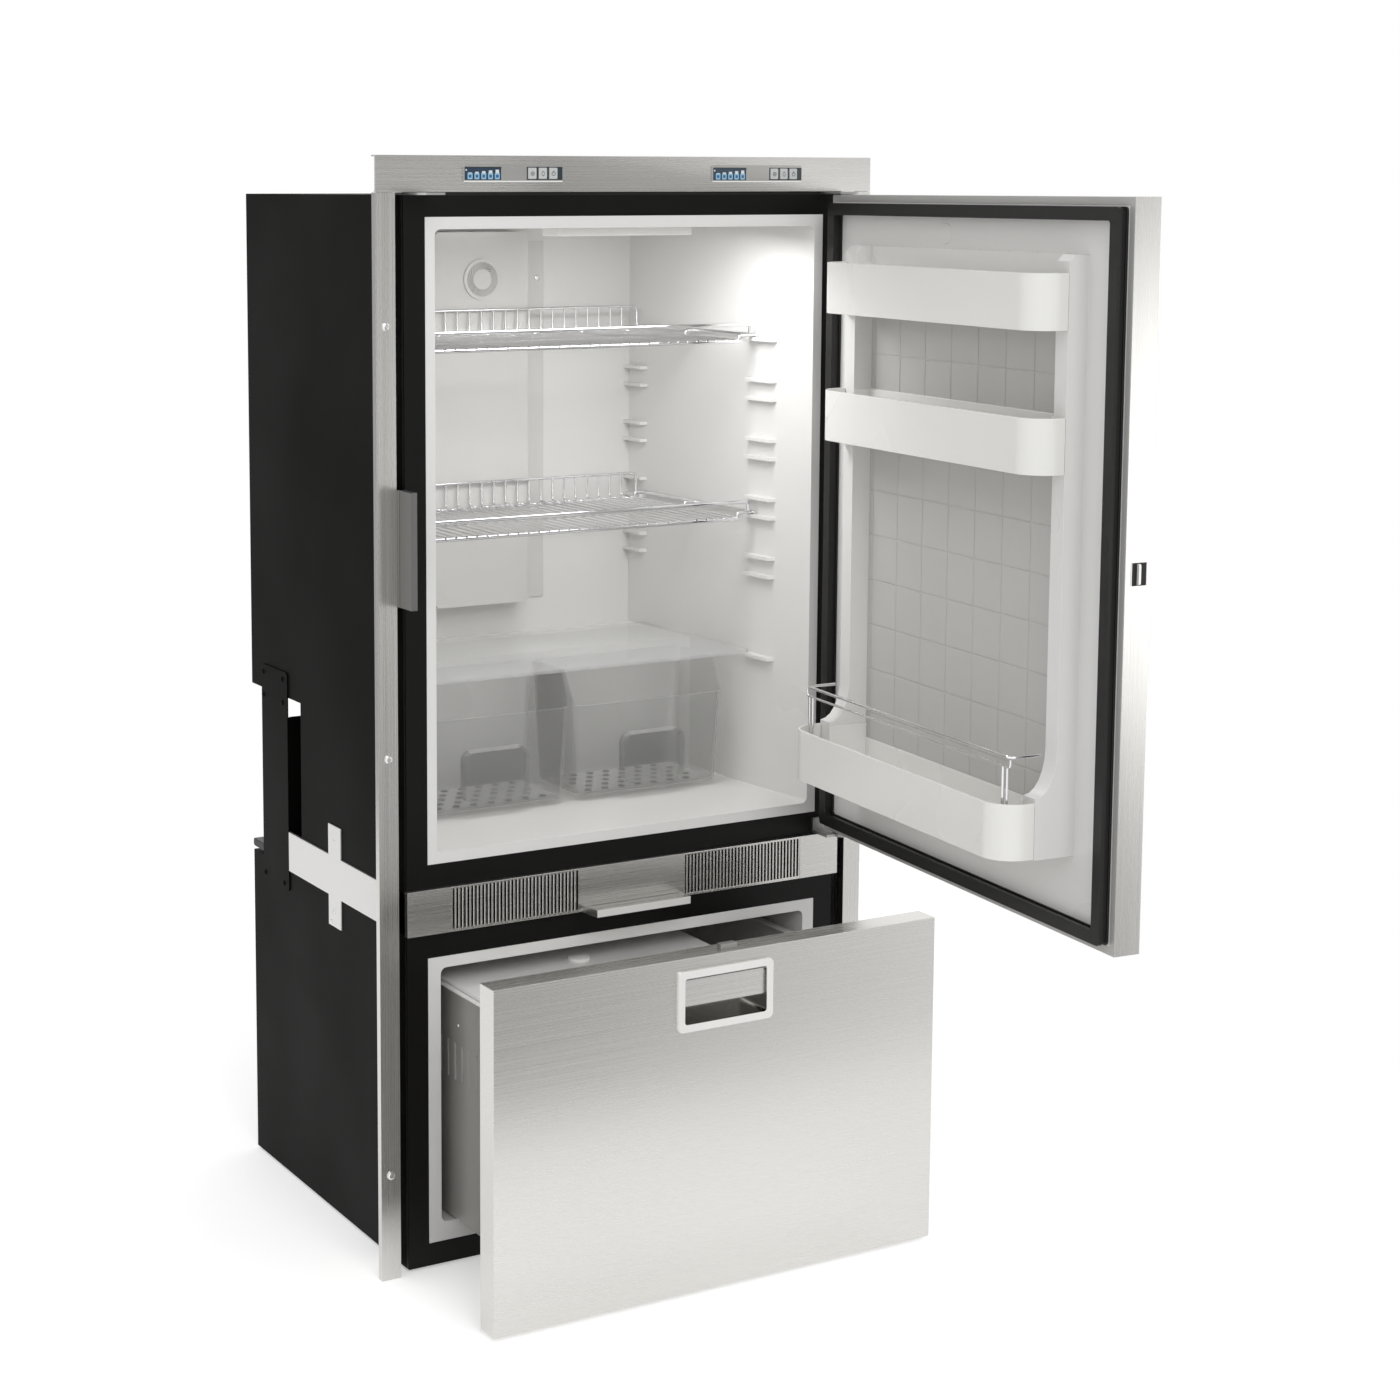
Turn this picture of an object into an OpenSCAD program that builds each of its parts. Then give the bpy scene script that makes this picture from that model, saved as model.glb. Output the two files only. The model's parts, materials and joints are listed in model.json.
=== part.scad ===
// Built-in drawer refrigerator: an upper cooling cabinet with a hinged door and
// a lower cabinet with a drawer, joined one above the other behind a wall flange.
// +X is the viewer's right, +Y goes back into the wall and +Z is up.
// The origin is on the floor, under the middle of the steel cases.

/* [Cabinet] */
// Width of both steel cases
case_w = 541; // [500:1:600]
// Depth of the cases, from the black front frames to the back
case_d = 414; // [395:1:480]
// Thickness of the base plate
base_t = 3; // [2:0.5:6]
// Height of the lower case
lower_h = 365.6; // [345:0.2:420]
// Height of the air channel between the two cases
channel_h = 43.4; // [40:0.2:60]
// Height of the upper case
upper_h = 729; // [715:1:820]
// Thickness of the case sheet
case_t = 0.8; // [0.6:0.1:1.5]
// Thickness of the black front frames
frame_t = 6; // [4:0.5:10]
// Depth of the machine notch under the back of the upper case
notch_d = 141; // [130:1:160]
// Height of the machine notch
notch_h = 157; // [140:1:170]

/* [Flange] */
// Distance of the black frames behind the flange's front face
setback = 6.2; // [5:0.1:10]
// Reach of the flange past the case on each side
flange_reach = 34.5; // [28:0.5:45]
// Width of each flange stile
stile_w = 22.3; // [18:0.1:26]
// Height of the flange's top bar
bar_h = 37.2; // [34:0.1:50]
// Thickness of the flange sheet
flange_t = 1.5; // [1:0.1:2.5]
// Depth of the flange's outer returned edge
edge_d = 8; // [5:0.5:14]
// Radius of the mounting screw holes in the stiles
mount_hole_r = 2.25; // [1.5:0.05:3]
// Heights of the mounting screw holes
mount_low = 115; // [60:1:200]
// Height of the middle mounting holes
mount_mid = 562; // [450:1:700]
// Height of the upper mounting holes
mount_high = 1008; // [850:1:1080]

/* [Upper compartment] */
// Insulated side wall of the upper compartment at the front
upper_wall = 35.7; // [30:0.1:45]
// Insulation below the upper compartment
upper_floor = 42; // [36:1:55]
// Insulation above the upper compartment
upper_roof = 35; // [30:1:50]
// Insulated back wall of both compartments
rear_wall = 48.4; // [40:0.1:60]
// Insulation between the machine notch and the step in the floor
step_wall = 41.5; // [34:0.5:48]
// Narrowing of each side wall from front to back
side_taper = 18.8; // [14:0.1:22]
// Wall thickness of the moulded liners
liner_t = 2; // [1.5:0.1:3]
// Black band between the case's side and the liner's lip
band_side = 24.5; // [20:0.1:26]
// Black band below the upper lip
band_low = 30.5; // [26:0.1:34]
// Black band above the upper lip
band_high = 22.4; // [18:0.1:26]
// Corner radius of the liner openings
lip_r = 7; // [4:0.5:10]

/* [Shelves] */
// Distance of the shelf fronts behind the flange's face
shelf_front = 108; // [102:1:116]
// Gap between the wire shelves' rear rails and the cooler's cover
shelf_gap = 4.8; // [3:0.1:30]
// Height of the lowest shelf support above the compartment floor
rib_first = 252; // [240:1:262]
// Spacing of the shelf supports
rib_pitch = 68; // [62:1:70]
// Number of shelf supports
rib_count = 5; // [5:1:5]
// How far the supports stand out of the wall
rib_out = 8; // [7:0.2:10]
// Thickness of a support rib
rib_t = 4; // [3:0.2:5]
// Diameter of the shelf rails
rail_d = 4.6; // [3.6:0.1:5]
// Diameter of the thin shelf wires
wire_d = 2.4; // [1.8:0.1:3]
// Spacing of the wires that run front to back
wire_pitch = 12.8; // [11:0.1:18]
// Spacing of the uprights of the rear fence
fence_pitch = 16; // [12:0.5:24]
// Height of the rear fence above the shelf floor
fence_h = 31; // [20:1:40]
// Thickness of the clear shelf
clear_t = 4; // [3:0.5:6]

/* [Crispers] */
// Distance of the crisper fronts behind the flange's face
crisper_front = 130; // [126:1:145]
// Height of the crisper side walls
crisper_h = 143; // [120:1:146]
// Height of the crisper's lower front wall
crisper_front_h = 105; // [90:1:118]
// Wall thickness of the crispers
crisper_t = 2.4; // [2:0.1:3.5]
// Draft of the crisper's side walls from rim to bottom
crisper_draft = 8; // [4:0.5:12]
// Width of the pull on each crisper's front
pull_w = 82; // [60:1:100]
// How far the pull stands forward
pull_d = 12; // [10:0.5:16]

/* [Lower compartment] */
// Insulated side wall of the lower compartment
lower_wall = 39.5; // [34:0.1:48]
// Insulation below the lower compartment
lower_floor = 46; // [40:1:56]
// Insulation above the lower compartment
lower_roof = 39.6; // [34:0.1:50]
// Black band below the lower lip
lower_band_low = 25; // [20:0.1:30]
// Black band above the lower lip
lower_band_high = 27.1; // [22:0.1:32]

/* [Door and drawer fronts] */
// Thickness of the door and of the drawer front
panel_t = 29; // [27:0.5:34]
// Gap between the closed panels and the black frames
panel_gap = 12.2; // [11:0.1:14]
// Sheet thickness of the steel panel skins
skin_t = 1; // [0.6:0.1:1.2]
// Width of the skin's folded edge on the inner side
fold_w = 8; // [6:0.5:8.5]
// Width of the gaskets
gasket_w = 13; // [11:0.5:13]
// Distance of the gaskets from the panel's edge
gasket_inset = 9; // [9:0.1:9.5]
// Angle at which the door stands open
door_open = 85; // [0:1:110]
// Distance by which the drawer stands out
drawer_out = 151.8; // [0:0.1:250]
// Hinge pin's distance from the door's side
pin_in = 8.5; // [7.5:0.1:9]
// Hinge pin's distance behind the door's outer face
pin_back = 11; // [10:0.1:13]
// Radius of the hinge pins
pin_r = 3; // [2:0.1:3.2]

/* [Door bins] */
// Half of the width over the door's rails and bins
bin_half = 203; // [190:1:212]
// Width of each rail on the door liner
rail_w = 20; // [14:1:26]
// Height of the rails above the door liner
rail_h = 22; // [16:1:26]
// Corner radius of the bins
bin_r = 30; // [20:1:33]
// Wall thickness of the bins
bin_t = 2.5; // [2:0.1:3.5]
// Height of the top and middle bins' front walls
bin_wall = 54; // [40:1:60]
// Reach of the top and middle bins from the door liner
bin_reach = 58; // [52:1:66]
// Bottom of the top bin below the top of the door's rails
top_bin_drop = 71; // [66:1:90]
// Bottom of the middle bin below the top of the door's rails
middle_bin_drop = 207; // [160:1:300]
// Height of the high backs of the top bin
top_back_h = 71; // [56:1:74]
// Reach of the bottom bin from the door liner
low_bin_reach = 86; // [78:1:90]
// Spacing of the square pattern on the door liner
tile = 49; // [40:1:60]

/* [Drawer] */
// Height of the drawer box's rim above the liner floor
drawer_rim = 254; // [235:1:262]
// Length of the drawer box behind the drawer front
drawer_len = 361; // [330:1:362]
// Wall thickness of the drawer box
drawer_wall = 1.5; // [1:0.1:3]
// Clearance for the runners on each side of the drawer box
runner_gap = 15; // [14:0.5:17]
// Height of the runners above the liner floor
runner_rise = 100; // [60:1:140]
// Length of the freezer cover plate
cover_w = 316; // [260:1:320]

/* [Handles] */
// Width of the handle bezels
bezel_w = 116.3; // [104:0.1:130]
// Height of the handle bezels
bezel_h = 64.7; // [58:0.1:70]
// Border of the handle bezels
bezel_b = 8; // [6:0.5:10]
// Depth of the hand recess
recess_d = 22; // [18:0.5:23]
// Distance of the bezel from the panel's edge
bezel_inset = 12.9; // [11:0.1:20]
// Share of the recess that the paddle covers
paddle_share = 0.62; // [0.5:0.01:0.7]

/* [Controls] */
// Width of a control panel
control_w = 115.8; // [112:0.1:130]
// Height of a control panel
control_h = 18; // [16:0.1:22]
// Distance of the left panel's middle from the centre line
control_left_x = 147.6; // [130:0.1:170]
// Distance of the right panel's middle from the centre line
control_right_x = 153.1; // [130:0.1:170]
// Width of a push button
button_w = 9.8; // [8:0.1:10.5]
// Height of a push button
button_h = 11.6; // [10:0.1:12]
// Spacing of the push buttons
button_pitch = 12.4; // [12:0.1:13.5]

/* [Hidden] */
$fn = 48;

fit = 0.3;          // clearance between pieces that only lie beside each other
run = 0.05;         // radial clearance of a pin that turns in its bore
cut = 1;            // overshoot of a cutting shape past a face

// Heights of the cases
lower_z0 = base_t;
lower_z1 = lower_z0 + lower_h;
upper_z0 = lower_z1 + channel_h;
upper_z1 = upper_z0 + upper_h;

// Depths, measured from the flange's front face
front_y = -(setback + case_d / 2);
frame_y = front_y + setback;
case_y = frame_y + frame_t;
back_y = frame_y + case_d;
rear_y = back_y - rear_wall;
notch_y = back_y - notch_d;
notch_z = upper_z0 + notch_h;
step_y = notch_y - step_wall;
step_z = notch_z + step_wall;
half = case_w / 2;

// Inside of the upper compartment
up_half = half - upper_wall;
up_floor = upper_z0 + upper_floor;
up_roof = upper_z1 - upper_roof;

// Inside of the lower compartment
low_half = half - lower_wall;
low_floor = lower_z0 + lower_floor;
low_roof = lower_z1 - lower_roof;

function behind(d) = front_y + d;
function wall_x(y) = up_half - side_taper * (y - frame_y) / (rear_y - frame_y);
function arc(cx, cy, r, a0, a1, n) =
    [for (i = [0:n]) let (a = a0 + (a1 - a0) * i / n) [cx + r * cos(a), cy + r * sin(a)]];

// Basic shapes
module block(x, y, z)
    translate([x[0], y[0], z[0]]) cube([x[1] - x[0], y[1] - y[0], z[1] - z[0]]);
// An outline drawn in X and Z, given its depth along Y
module upright(y0, y1)
    translate([0, y1, 0]) rotate([90, 0, 0]) linear_extrude(y1 - y0) children();
// An outline drawn in Y and Z, given its width along X
module sideways(x0, x1)
    translate([x0, 0, 0]) rotate([90, 0, 90]) linear_extrude(x1 - x0) children();
module flat(z0, z1)
    translate([0, 0, z0]) linear_extrude(z1 - z0) children();
module area(x, z)
    translate([x[0], z[0]]) square([x[1] - x[0], z[1] - z[0]]);
module round_area(x, z, r) {
    area([x[0] + r, x[1] - r], z);
    area(x, [z[0] + r, z[1] - r]);
    for (cx = [x[0] + r, x[1] - r], cz = [z[0] + r, z[1] - r])
        translate([cx, cz]) circle(r, $fn = 32);
}
module peg(p, r, l)
    translate(p) rotate([90, 0, 0]) cylinder(r = r, h = l, center = true);
module both() { children(); mirror([1, 0, 0]) children(); }

// Base plate under the lower case
module base_plate() color("dimgray")
    block([-half + 10, half - 10], [case_y + 8, back_y - 20], [0, base_t]);

// Cases: thin steel boxes, open at the front
module lower_case() color("black") difference() {
    block([-half, half], [case_y, back_y], [lower_z0, lower_z1]);
    block([-half + case_t, half - case_t], [case_y - cut, back_y - case_t],
        [lower_z0 + case_t, lower_z1 - case_t]);
}
module upper_profile(t) difference() {
    area([case_y, back_y - t], [upper_z0 + t, upper_z1 - t]);
    area([notch_y - t, back_y + cut], [upper_z0 - cut, notch_z + t]);
}
module upper_case() color("black") difference() {
    sideways(-half, half) upper_profile(0);
    sideways(-half + case_t, half - case_t) upper_profile(case_t);
    block([-half + case_t, half - case_t], [case_y - cut, case_y + cut],
        [upper_z0 + case_t, upper_z1 - case_t]);
}

// Space inside a compartment, grown by t on every closed side
module lower_space(t, y0) intersection() {
    block([-low_half - t, low_half + t], [y0, rear_y + t], [low_floor - t, low_roof + t]);
    upright(y0, rear_y + t)
        round_area([-low_half - t, low_half + t], [low_floor - t, low_roof + t], lip_r + t);
}
module upper_space(t, y0) intersection() {
    sideways(-half, half) polygon([
        [y0, up_floor - t], [step_y + t, up_floor - t], [step_y + t, step_z - t],
        [rear_y + t, step_z - t], [rear_y + t, up_roof + t], [y0, up_roof + t]]);
    flat(up_floor - t, up_roof + t) polygon([
        [-wall_x(y0) - t, y0], [wall_x(y0) + t, y0],
        [wall_x(rear_y) + t, rear_y + t], [-wall_x(rear_y) - t, rear_y + t]]);
    upright(y0, rear_y + t)
        round_area([-wall_x(y0) - t, wall_x(y0) + t], [up_floor - t, up_roof + t], lip_r + t);
}
module lower_opening() area([-half + band_side, half - band_side],
    [lower_z0 + lower_band_low, lower_z1 - lower_band_high]);
module upper_opening() area([-half + band_side, half - band_side],
    [upper_z0 + band_low, upper_z1 - band_high]);

module lower_foam() color("khaki") difference() {
    block([-half + case_t, half - case_t], [case_y, back_y - case_t],
        [lower_z0 + case_t, lower_z1 - case_t]);
    lower_space(liner_t, frame_y);
}
module upper_foam() color("khaki") difference() {
    sideways(-half + case_t, half - case_t) upper_profile(case_t);
    upper_space(liner_t, frame_y);
}
module front_frames() color("black") difference() {
    for (z = [[lower_z0, lower_z1], [upper_z0, upper_z1]]) block([-half, half], [frame_y, case_y], z);
    upright(frame_y - cut, case_y + cut) {
        lower_opening();
        upper_opening();
    }
}
module lower_liner() color("white") difference() {
    union() {
        upright(frame_y, case_y) lower_opening();
        lower_space(liner_t, frame_y);
    }
    lower_space(0, frame_y - cut);
}

// Shelf supports on the side walls: pairs of ribs, with the shelf's side rail between
rib_front = [behind(71), behind(122)];
rib_rear = [rear_y - 40, rear_y];
slot_h = rail_d * 2 + 8;
function rib_z(i) = up_floor + rib_first + rib_pitch * i;
module rib(y, z) {
    x0 = wall_x(y[0]);
    x1 = wall_x(y[1]);
    flat(z, z + rib_t) polygon([[x0 - rib_out, y[0] + rib_out / 2], [x0, y[0]],
        [x0 + liner_t / 2, y[0]], [x1 + liner_t / 2, y[1]], [x1 - rib_out, y[1]]]);
}
module wall_ribs() for (y = [rib_front, rib_rear], i = [0:rib_count - 1]) {
    rib(y, rib_z(i) - rib_t);
    if (i < rib_count - 1) rib(y, rib_z(i) + slot_h);
}
clear_z = step_z + fit;
module upper_liner() color("white") union() {
    difference() {
        union() {
            upright(frame_y, case_y) upper_opening();
            upper_space(liner_t, frame_y);
        }
        upper_space(0, frame_y - cut);
    }
    both() {
        wall_ribs();
        rib(rib_front, clear_z - fit - rib_t);
    }
}

// Wall flange: two folded stiles and a top bar
reach = half + flange_reach;
stile_in = reach - stile_w;
bar_z0 = upper_z1 + 2.8;
bar_z1 = bar_z0 + bar_h;
stile_z1 = bar_z0 - fit;
hole_x = reach - stile_w / 2;
foot_y = behind(40);
module stile() difference() {
    flat(0, stile_z1)
        polygon([[stile_in, front_y], [reach, front_y], [reach, front_y + edge_d],
            [reach - flange_t, front_y + edge_d], [reach - flange_t, front_y + flange_t],
            [stile_in + flange_t, front_y + flange_t], [stile_in + flange_t, foot_y],
            [half + flange_t, foot_y], [half + flange_t, foot_y + 20],
            [half, foot_y + 20], [half, foot_y - flange_t], [stile_in, foot_y - flange_t]]);
    for (z = [mount_low, mount_mid, mount_high])
        peg([hole_x, front_y, z], mount_hole_r, 4 * flange_t);
}
module flange_stiles() color("gainsboro") both() stile();

control_z = [bar_z0 + 10.1, bar_z0 + 10.1 + control_h];
controls_x = [-control_left_x, control_right_x];
module flange_top() color("gainsboro") difference() {
    union() {
        block([-reach, reach], [front_y, front_y + flange_t], [bar_z0, bar_z1]);
        block([-reach, reach], [front_y, front_y + edge_d], [bar_z1 - flange_t, bar_z1]);
        block([-stile_in, stile_in], [front_y, behind(50)], [bar_z0, bar_z0 + flange_t]);
        for (x = [-120, 120])
            block([x - 12, x + 12], [behind(20), behind(48)], [upper_z1, bar_z0 + flange_t]);
        // Splice tongues behind the tops of the stiles
        both() block([stile_in + 2, reach - 2], [front_y + flange_t, front_y + 2 * flange_t],
            [bar_z0 - 28, bar_z0 + 20]);
    }
    for (x = controls_x)
        block([x - control_w / 2 + 2, x + control_w / 2 - 2], [front_y - cut, front_y + 4 * cut],
            [control_z[0] + 2, control_z[1] - 2]);
}

// Brackets that carry the upper case on the lower one
bracket_y = [notch_y + 34, notch_y + 108];
bracket_z = [lower_z1 - 26.6, notch_z + 29];
bracket_holes = [for (y = [bracket_y[0] + 14.5, bracket_y[1] - 4.5],
    z = [bracket_z[0] + 7, bracket_z[1] - 36.5, bracket_z[1] - 9.5]) [y, z]];
module plate_outline(y, z, r, holes) difference() {
    round_area(y, z, r);
    for (h = holes) translate(h) circle(2.2);
}
module bracket_plates() color("black") both()
    sideways(half, half + 1.5) plate_outline(bracket_y, bracket_z, 5, bracket_holes);
band_y = [foot_y + 22, bracket_y[0] - fit];
tab_y = [behind(170.3), behind(202.5)];
band_holes = [[behind(186.8), upper_z0 + 18], [behind(186.8), lower_z1 - 18],
    [behind(194.7), lower_z1 - 31]];
module gap_covers() color("gainsboro") both() sideways(half, half + 1.5) difference() {
    union() {
        area(band_y, [lower_z1 - 1.6, upper_z0 + 0.4]);
        area(tab_y, [lower_z1 - 35.6, upper_z0 + 35.7]);
    }
    for (h = band_holes) translate(h) circle(2.2);
}

// Louvred grille in front of the air channel
grille_z = [lower_z1 + 0.4, upper_z0 + 5.7];
grille_half = half + 2.7;
louvre_z = [grille_z[0] + 9, grille_z[1] - 7];
louvre_from = 68;
louvre_to = 221.5;
louvre_pitch = 4.4;
louvre_gap = 2;
module vent_grille() color("silver") union() {
    difference() {
        upright(behind(-0.8), behind(1.6)) difference() {
            area([-grille_half, grille_half], grille_z);
            for (s = [-1, 1], x = [louvre_from:louvre_pitch:louvre_to])
                area([s * x - louvre_gap / 2, s * x + louvre_gap / 2], louvre_z);
        }
        // Bevelled top edge
        sideways(-grille_half - cut, grille_half + cut) polygon([
            [behind(-0.8) - cut, grille_z[1] - 2], [behind(-0.8), grille_z[1] - 2],
            [behind(0.8), grille_z[1] + cut], [behind(-0.8) - cut, grille_z[1] + cut]]);
    }
    for (x = [-250, -60, 60, 250])
        block([x - 6, x + 6], [behind(1.6), frame_y], [upper_z0 + 1, grille_z[1] - 1]);
    for (z = [louvre_z[0] - 3, louvre_z[1] + 1])
        block([-grille_half + 4, grille_half - 4], [behind(1.6), behind(4)], [z, z + 2]);
}

// Fixed catches: a plate under the grille for the drawer, a folded plate for the door
catch_z = [grille_z[0] + 1, grille_z[0] + 9.3];
door_catch_z = [720.5, 841.5];
module catches() color("silver") {
    flat(catch_z[0], catch_z[1]) polygon([[-67, behind(-1)], [-62, behind(-32)],
        [56, behind(-32)], [57, behind(-1)]]);
    block([-stile_in + 0.7, -half - 4], [behind(-31), front_y - fit], door_catch_z);
    block([-stile_in, -stile_in + 1.8], [front_y - 4, behind(20)], door_catch_z);
}

// Controls on the top bar
window_x = [-control_w / 2 + 1.1, -control_w / 2 + 43.3];
strip_x = control_w / 2 - 41.4;
control_in_z = [control_z[0] + 2.1, control_z[1] - 3.9];
function button_x(i) = strip_x + 5 + button_pitch * (i - 1);
module control_panels() color("silver") for (cx = controls_x) translate([cx, 0, 0])
    difference() {
        union() {
            upright(behind(-2), front_y) round_area([-control_w / 2, control_w / 2], control_z, 2);
            block([-control_w / 2 + 2.3, control_w / 2 - 2.3], [front_y, behind(12)],
                [control_z[0] + 2.3, control_z[1] - 2.3]);
        }
        block(window_x, [behind(-2) - cut, behind(-1.2)], control_in_z);
        for (i = [1:3])
            block([button_x(i) - button_w / 2 - fit, button_x(i) + button_w / 2 + fit],
                [behind(-2) - cut, behind(6)],
                [(control_z[0] + control_z[1] - button_h) / 2 - fit,
                (control_z[0] + control_z[1] + button_h) / 2 + fit]);
    }
module display_windows() color("navy") for (cx = controls_x) translate([cx, 0, 0])
    block([window_x[0] + 0.1, window_x[1] - 0.1], [behind(-2.1), behind(-1.2)],
        [control_in_z[0] + 0.1, control_in_z[1] - 0.1]);
module button(cx, i) color("lightgray") translate([cx + button_x(i), 0, 0])
    block([-button_w / 2, button_w / 2], [behind(-3.4), behind(3.6)],
        [(control_z[0] + control_z[1] - button_h) / 2, (control_z[0] + control_z[1] + button_h) / 2]);

// Cold-air cover on the back wall, with a swirl grille and its fan
cover_x = [-67, 57];
cover_z = [652, 1096];
cover_front = rear_y - 30;
fan_x = -5;
fan_z = 1040.5;
swirl_r = 21.3;
swirl_hub = 10.8;
swirl_slots = 26;
function swirl(s, turn) = let (r = swirl_hub + 1 + (swirl_r - swirl_hub - 2) * s / 4)
    [r * cos(11 * s + turn), r * sin(11 * s + turn)];
module swirl_slot() polygon(concat([for (s = [0:4]) swirl(s, 0)], [for (s = [4:-1:0]) swirl(s, 5.2)]));
module evaporator_cover() color("white") union() {
    cover_shell();
    fan_bridge();
}
module cover_shell() difference() {
    union() {
        upright(cover_front, rear_y) round_area(cover_x, cover_z, 6);
        block([cover_x[0] - 26, cover_x[1] + 36.6], [rear_y - 2, rear_y], [cover_z[0], cover_z[1] - 12]);
        translate([fan_x, cover_front, fan_z]) rotate([90, 0, 0])
            cylinder(r = swirl_r + 3, h = 2);
    }
    upright(cover_front + 2, rear_y + cut)
        area([cover_x[0] + 2, cover_x[1] - 2], [cover_z[0] + 2, cover_z[1] - 2]);
    translate([fan_x, cover_front - 2 - cut, fan_z]) rotate([-90, 0, 0])
        linear_extrude(6) for (k = [0:swirl_slots - 1]) rotate(k * 360 / swirl_slots) swirl_slot();
    // Intake slots in the underside
    for (x = [cover_x[0] + 12 : 10 : cover_x[1] - 12])
        block([x, x + 5], [cover_front + 4, rear_y - 5], [cover_z[0] - cut, cover_z[0] + 4]);
    peg([cover_x[1] + 27.5, rear_y, 1040], 2.2, 8);
}
module fan_bridge() {
    // Bar behind the fan, with its motor and the pin that the fan turns on
    block([cover_x[0] + 1, cover_x[1] - 1], [cover_front + 17, cover_front + 19],
        [fan_z - 7, fan_z + 7]);
    translate([fan_x, cover_front + 15, fan_z]) rotate([-90, 0, 0]) cylinder(r = 9, h = 3);
    translate([fan_x, cover_front + 3.5, fan_z]) rotate([-90, 0, 0]) cylinder(r = axle_r, h = 12);
}
module fin_stack(x, y, z, tubes) {
    for (i = [0:tubes - 1]) let (tz = z[0] + (z[1] - z[0]) * (i + 0.5) / tubes)
        translate([x[0], (y[0] + y[1]) / 2, tz]) rotate([0, 90, 0])
            cylinder(r = 3, h = x[1] - x[0], $fn = 8);
    for (fx = [x[0] + 8 : 8 : x[1] - 6]) block([fx, fx + 1], y, z);
}
module evaporators() color("lightsteelblue") {
    fin_stack([cover_x[0] + 2, cover_x[1] - 2], [rear_y - 24, rear_y],
        [cover_z[0] + 48, cover_z[1] - 106], 6);
    // Cooling plate of the drawer compartment, on studs
    block([-190, 190], [rear_y - 6, rear_y - 4.5], [low_floor + 30, low_roof - 30]);
    for (x = [-170, 170], z = [low_floor + 50, low_roof - 50]) peg([x, rear_y - 2.25, z], 4, 4.5);
}
module fan_blades(r, hub, n, t) {
    rotate([-90, 0, 0]) cylinder(r = hub, h = t);
    for (k = [0:n - 1]) rotate([0, k * 360 / n, 0]) translate([0, t / 2, 0])
        rotate([0, 0, 35]) block([-0.8, 0.8], [-t * 0.45, t * 0.45], [hub - 1, r]);
}
axle_r = 1.5;
module cooling_fan() color("dimgray") translate([fan_x, cover_front + 5, fan_z]) difference() {
    fan_blades(swirl_r - 2, 8, 7, 9);
    peg([0, 5, 0], axle_r + run, 30);
}
module ceiling_lamp() color("white")
    upright(behind(22), behind(58)) round_area([-81, 85], [up_roof - 9, up_roof], 2);

// Hinges: plates on the case and the upper frame, with pins into the door's sleeves
pin_x = half - pin_in;
panel_y0 = frame_y - panel_gap - panel_t;
panel_y1 = frame_y - panel_gap;
pin_y = panel_y0 + pin_back;
hinge_t = 2.4;
plate_r = pin_in - 0.3;
door_z = [upper_z0 + 16, upper_z1 - 0.6];
sleeve_l = 20;
module hinge_plate() flat(upper_z1, upper_z1 + hinge_t) polygon(concat(
    [[pin_x - 20, behind(60)], [pin_x - 20, pin_y - plate_r], [pin_x - plate_r, pin_y - plate_r]],
    arc(pin_x, pin_y, plate_r, 270, 360, 6), [[pin_x + plate_r, behind(60)]]));
module hinge_brackets() color("dimgray") {
    both() hinge_plate();
    translate([pin_x, pin_y, door_z[1] - sleeve_l + 3])
        cylinder(r = pin_r, h = upper_z1 - door_z[1] + sleeve_l - 3);
    flat(door_z[0] - 9, door_z[0] - 6) polygon(concat(
        [[pin_x - 20, frame_y], [pin_x - 20, pin_y]],
        arc(pin_x, pin_y, plate_r, 180, 360, 12), [[pin_x + plate_r, frame_y]]));
    block([pin_x - 20, pin_x + 8], [frame_y - 3, frame_y], [door_z[0] - 9, door_z[0] + 8]);
    translate([pin_x, pin_y, door_z[0] - 7]) cylinder(r = pin_r, h = sleeve_l + 4);
    translate([pin_x, pin_y, door_z[0] - 6]) cylinder(r = pin_r + 3, h = 6 - fit);
}

// Telescopic runners: a fixed rail on the liner, a middle rail and one on the drawer
rail_z = low_floor + runner_rise;
rail_y = [behind(90), rear_y - 12];
mid_y = [rail_y[0] + 60, rail_y[1] - 5];
inner_y = [mid_y[0] + 48, mid_y[1] - 5];
box_half = low_half - runner_gap;
module channel(web_x, lip_x, h, t, y) {
    lo = min(web_x, lip_x);
    hi = max(web_x, lip_x);
    block([min(web_x, web_x + sign(lip_x - web_x) * t), max(web_x, web_x + sign(lip_x - web_x) * t)],
        y, [rail_z - h, rail_z + h]);
    for (z = [rail_z - h, rail_z + h - t]) block([lo, hi], y, [z, z + t]);
}
module runner_rails() color("silver") both()
    channel(low_half, low_half - 9, 18.5, 1.2, rail_y);
module runner_mids() color("silver") translate([0, -drawer_out / 2, 0]) both()
    channel(low_half - 1.5, low_half - 11, 17, 1.2, mid_y);
module runner_inner() both()
    channel(box_half, low_half - 3, 15.5, 1.2, inner_y);

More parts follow.
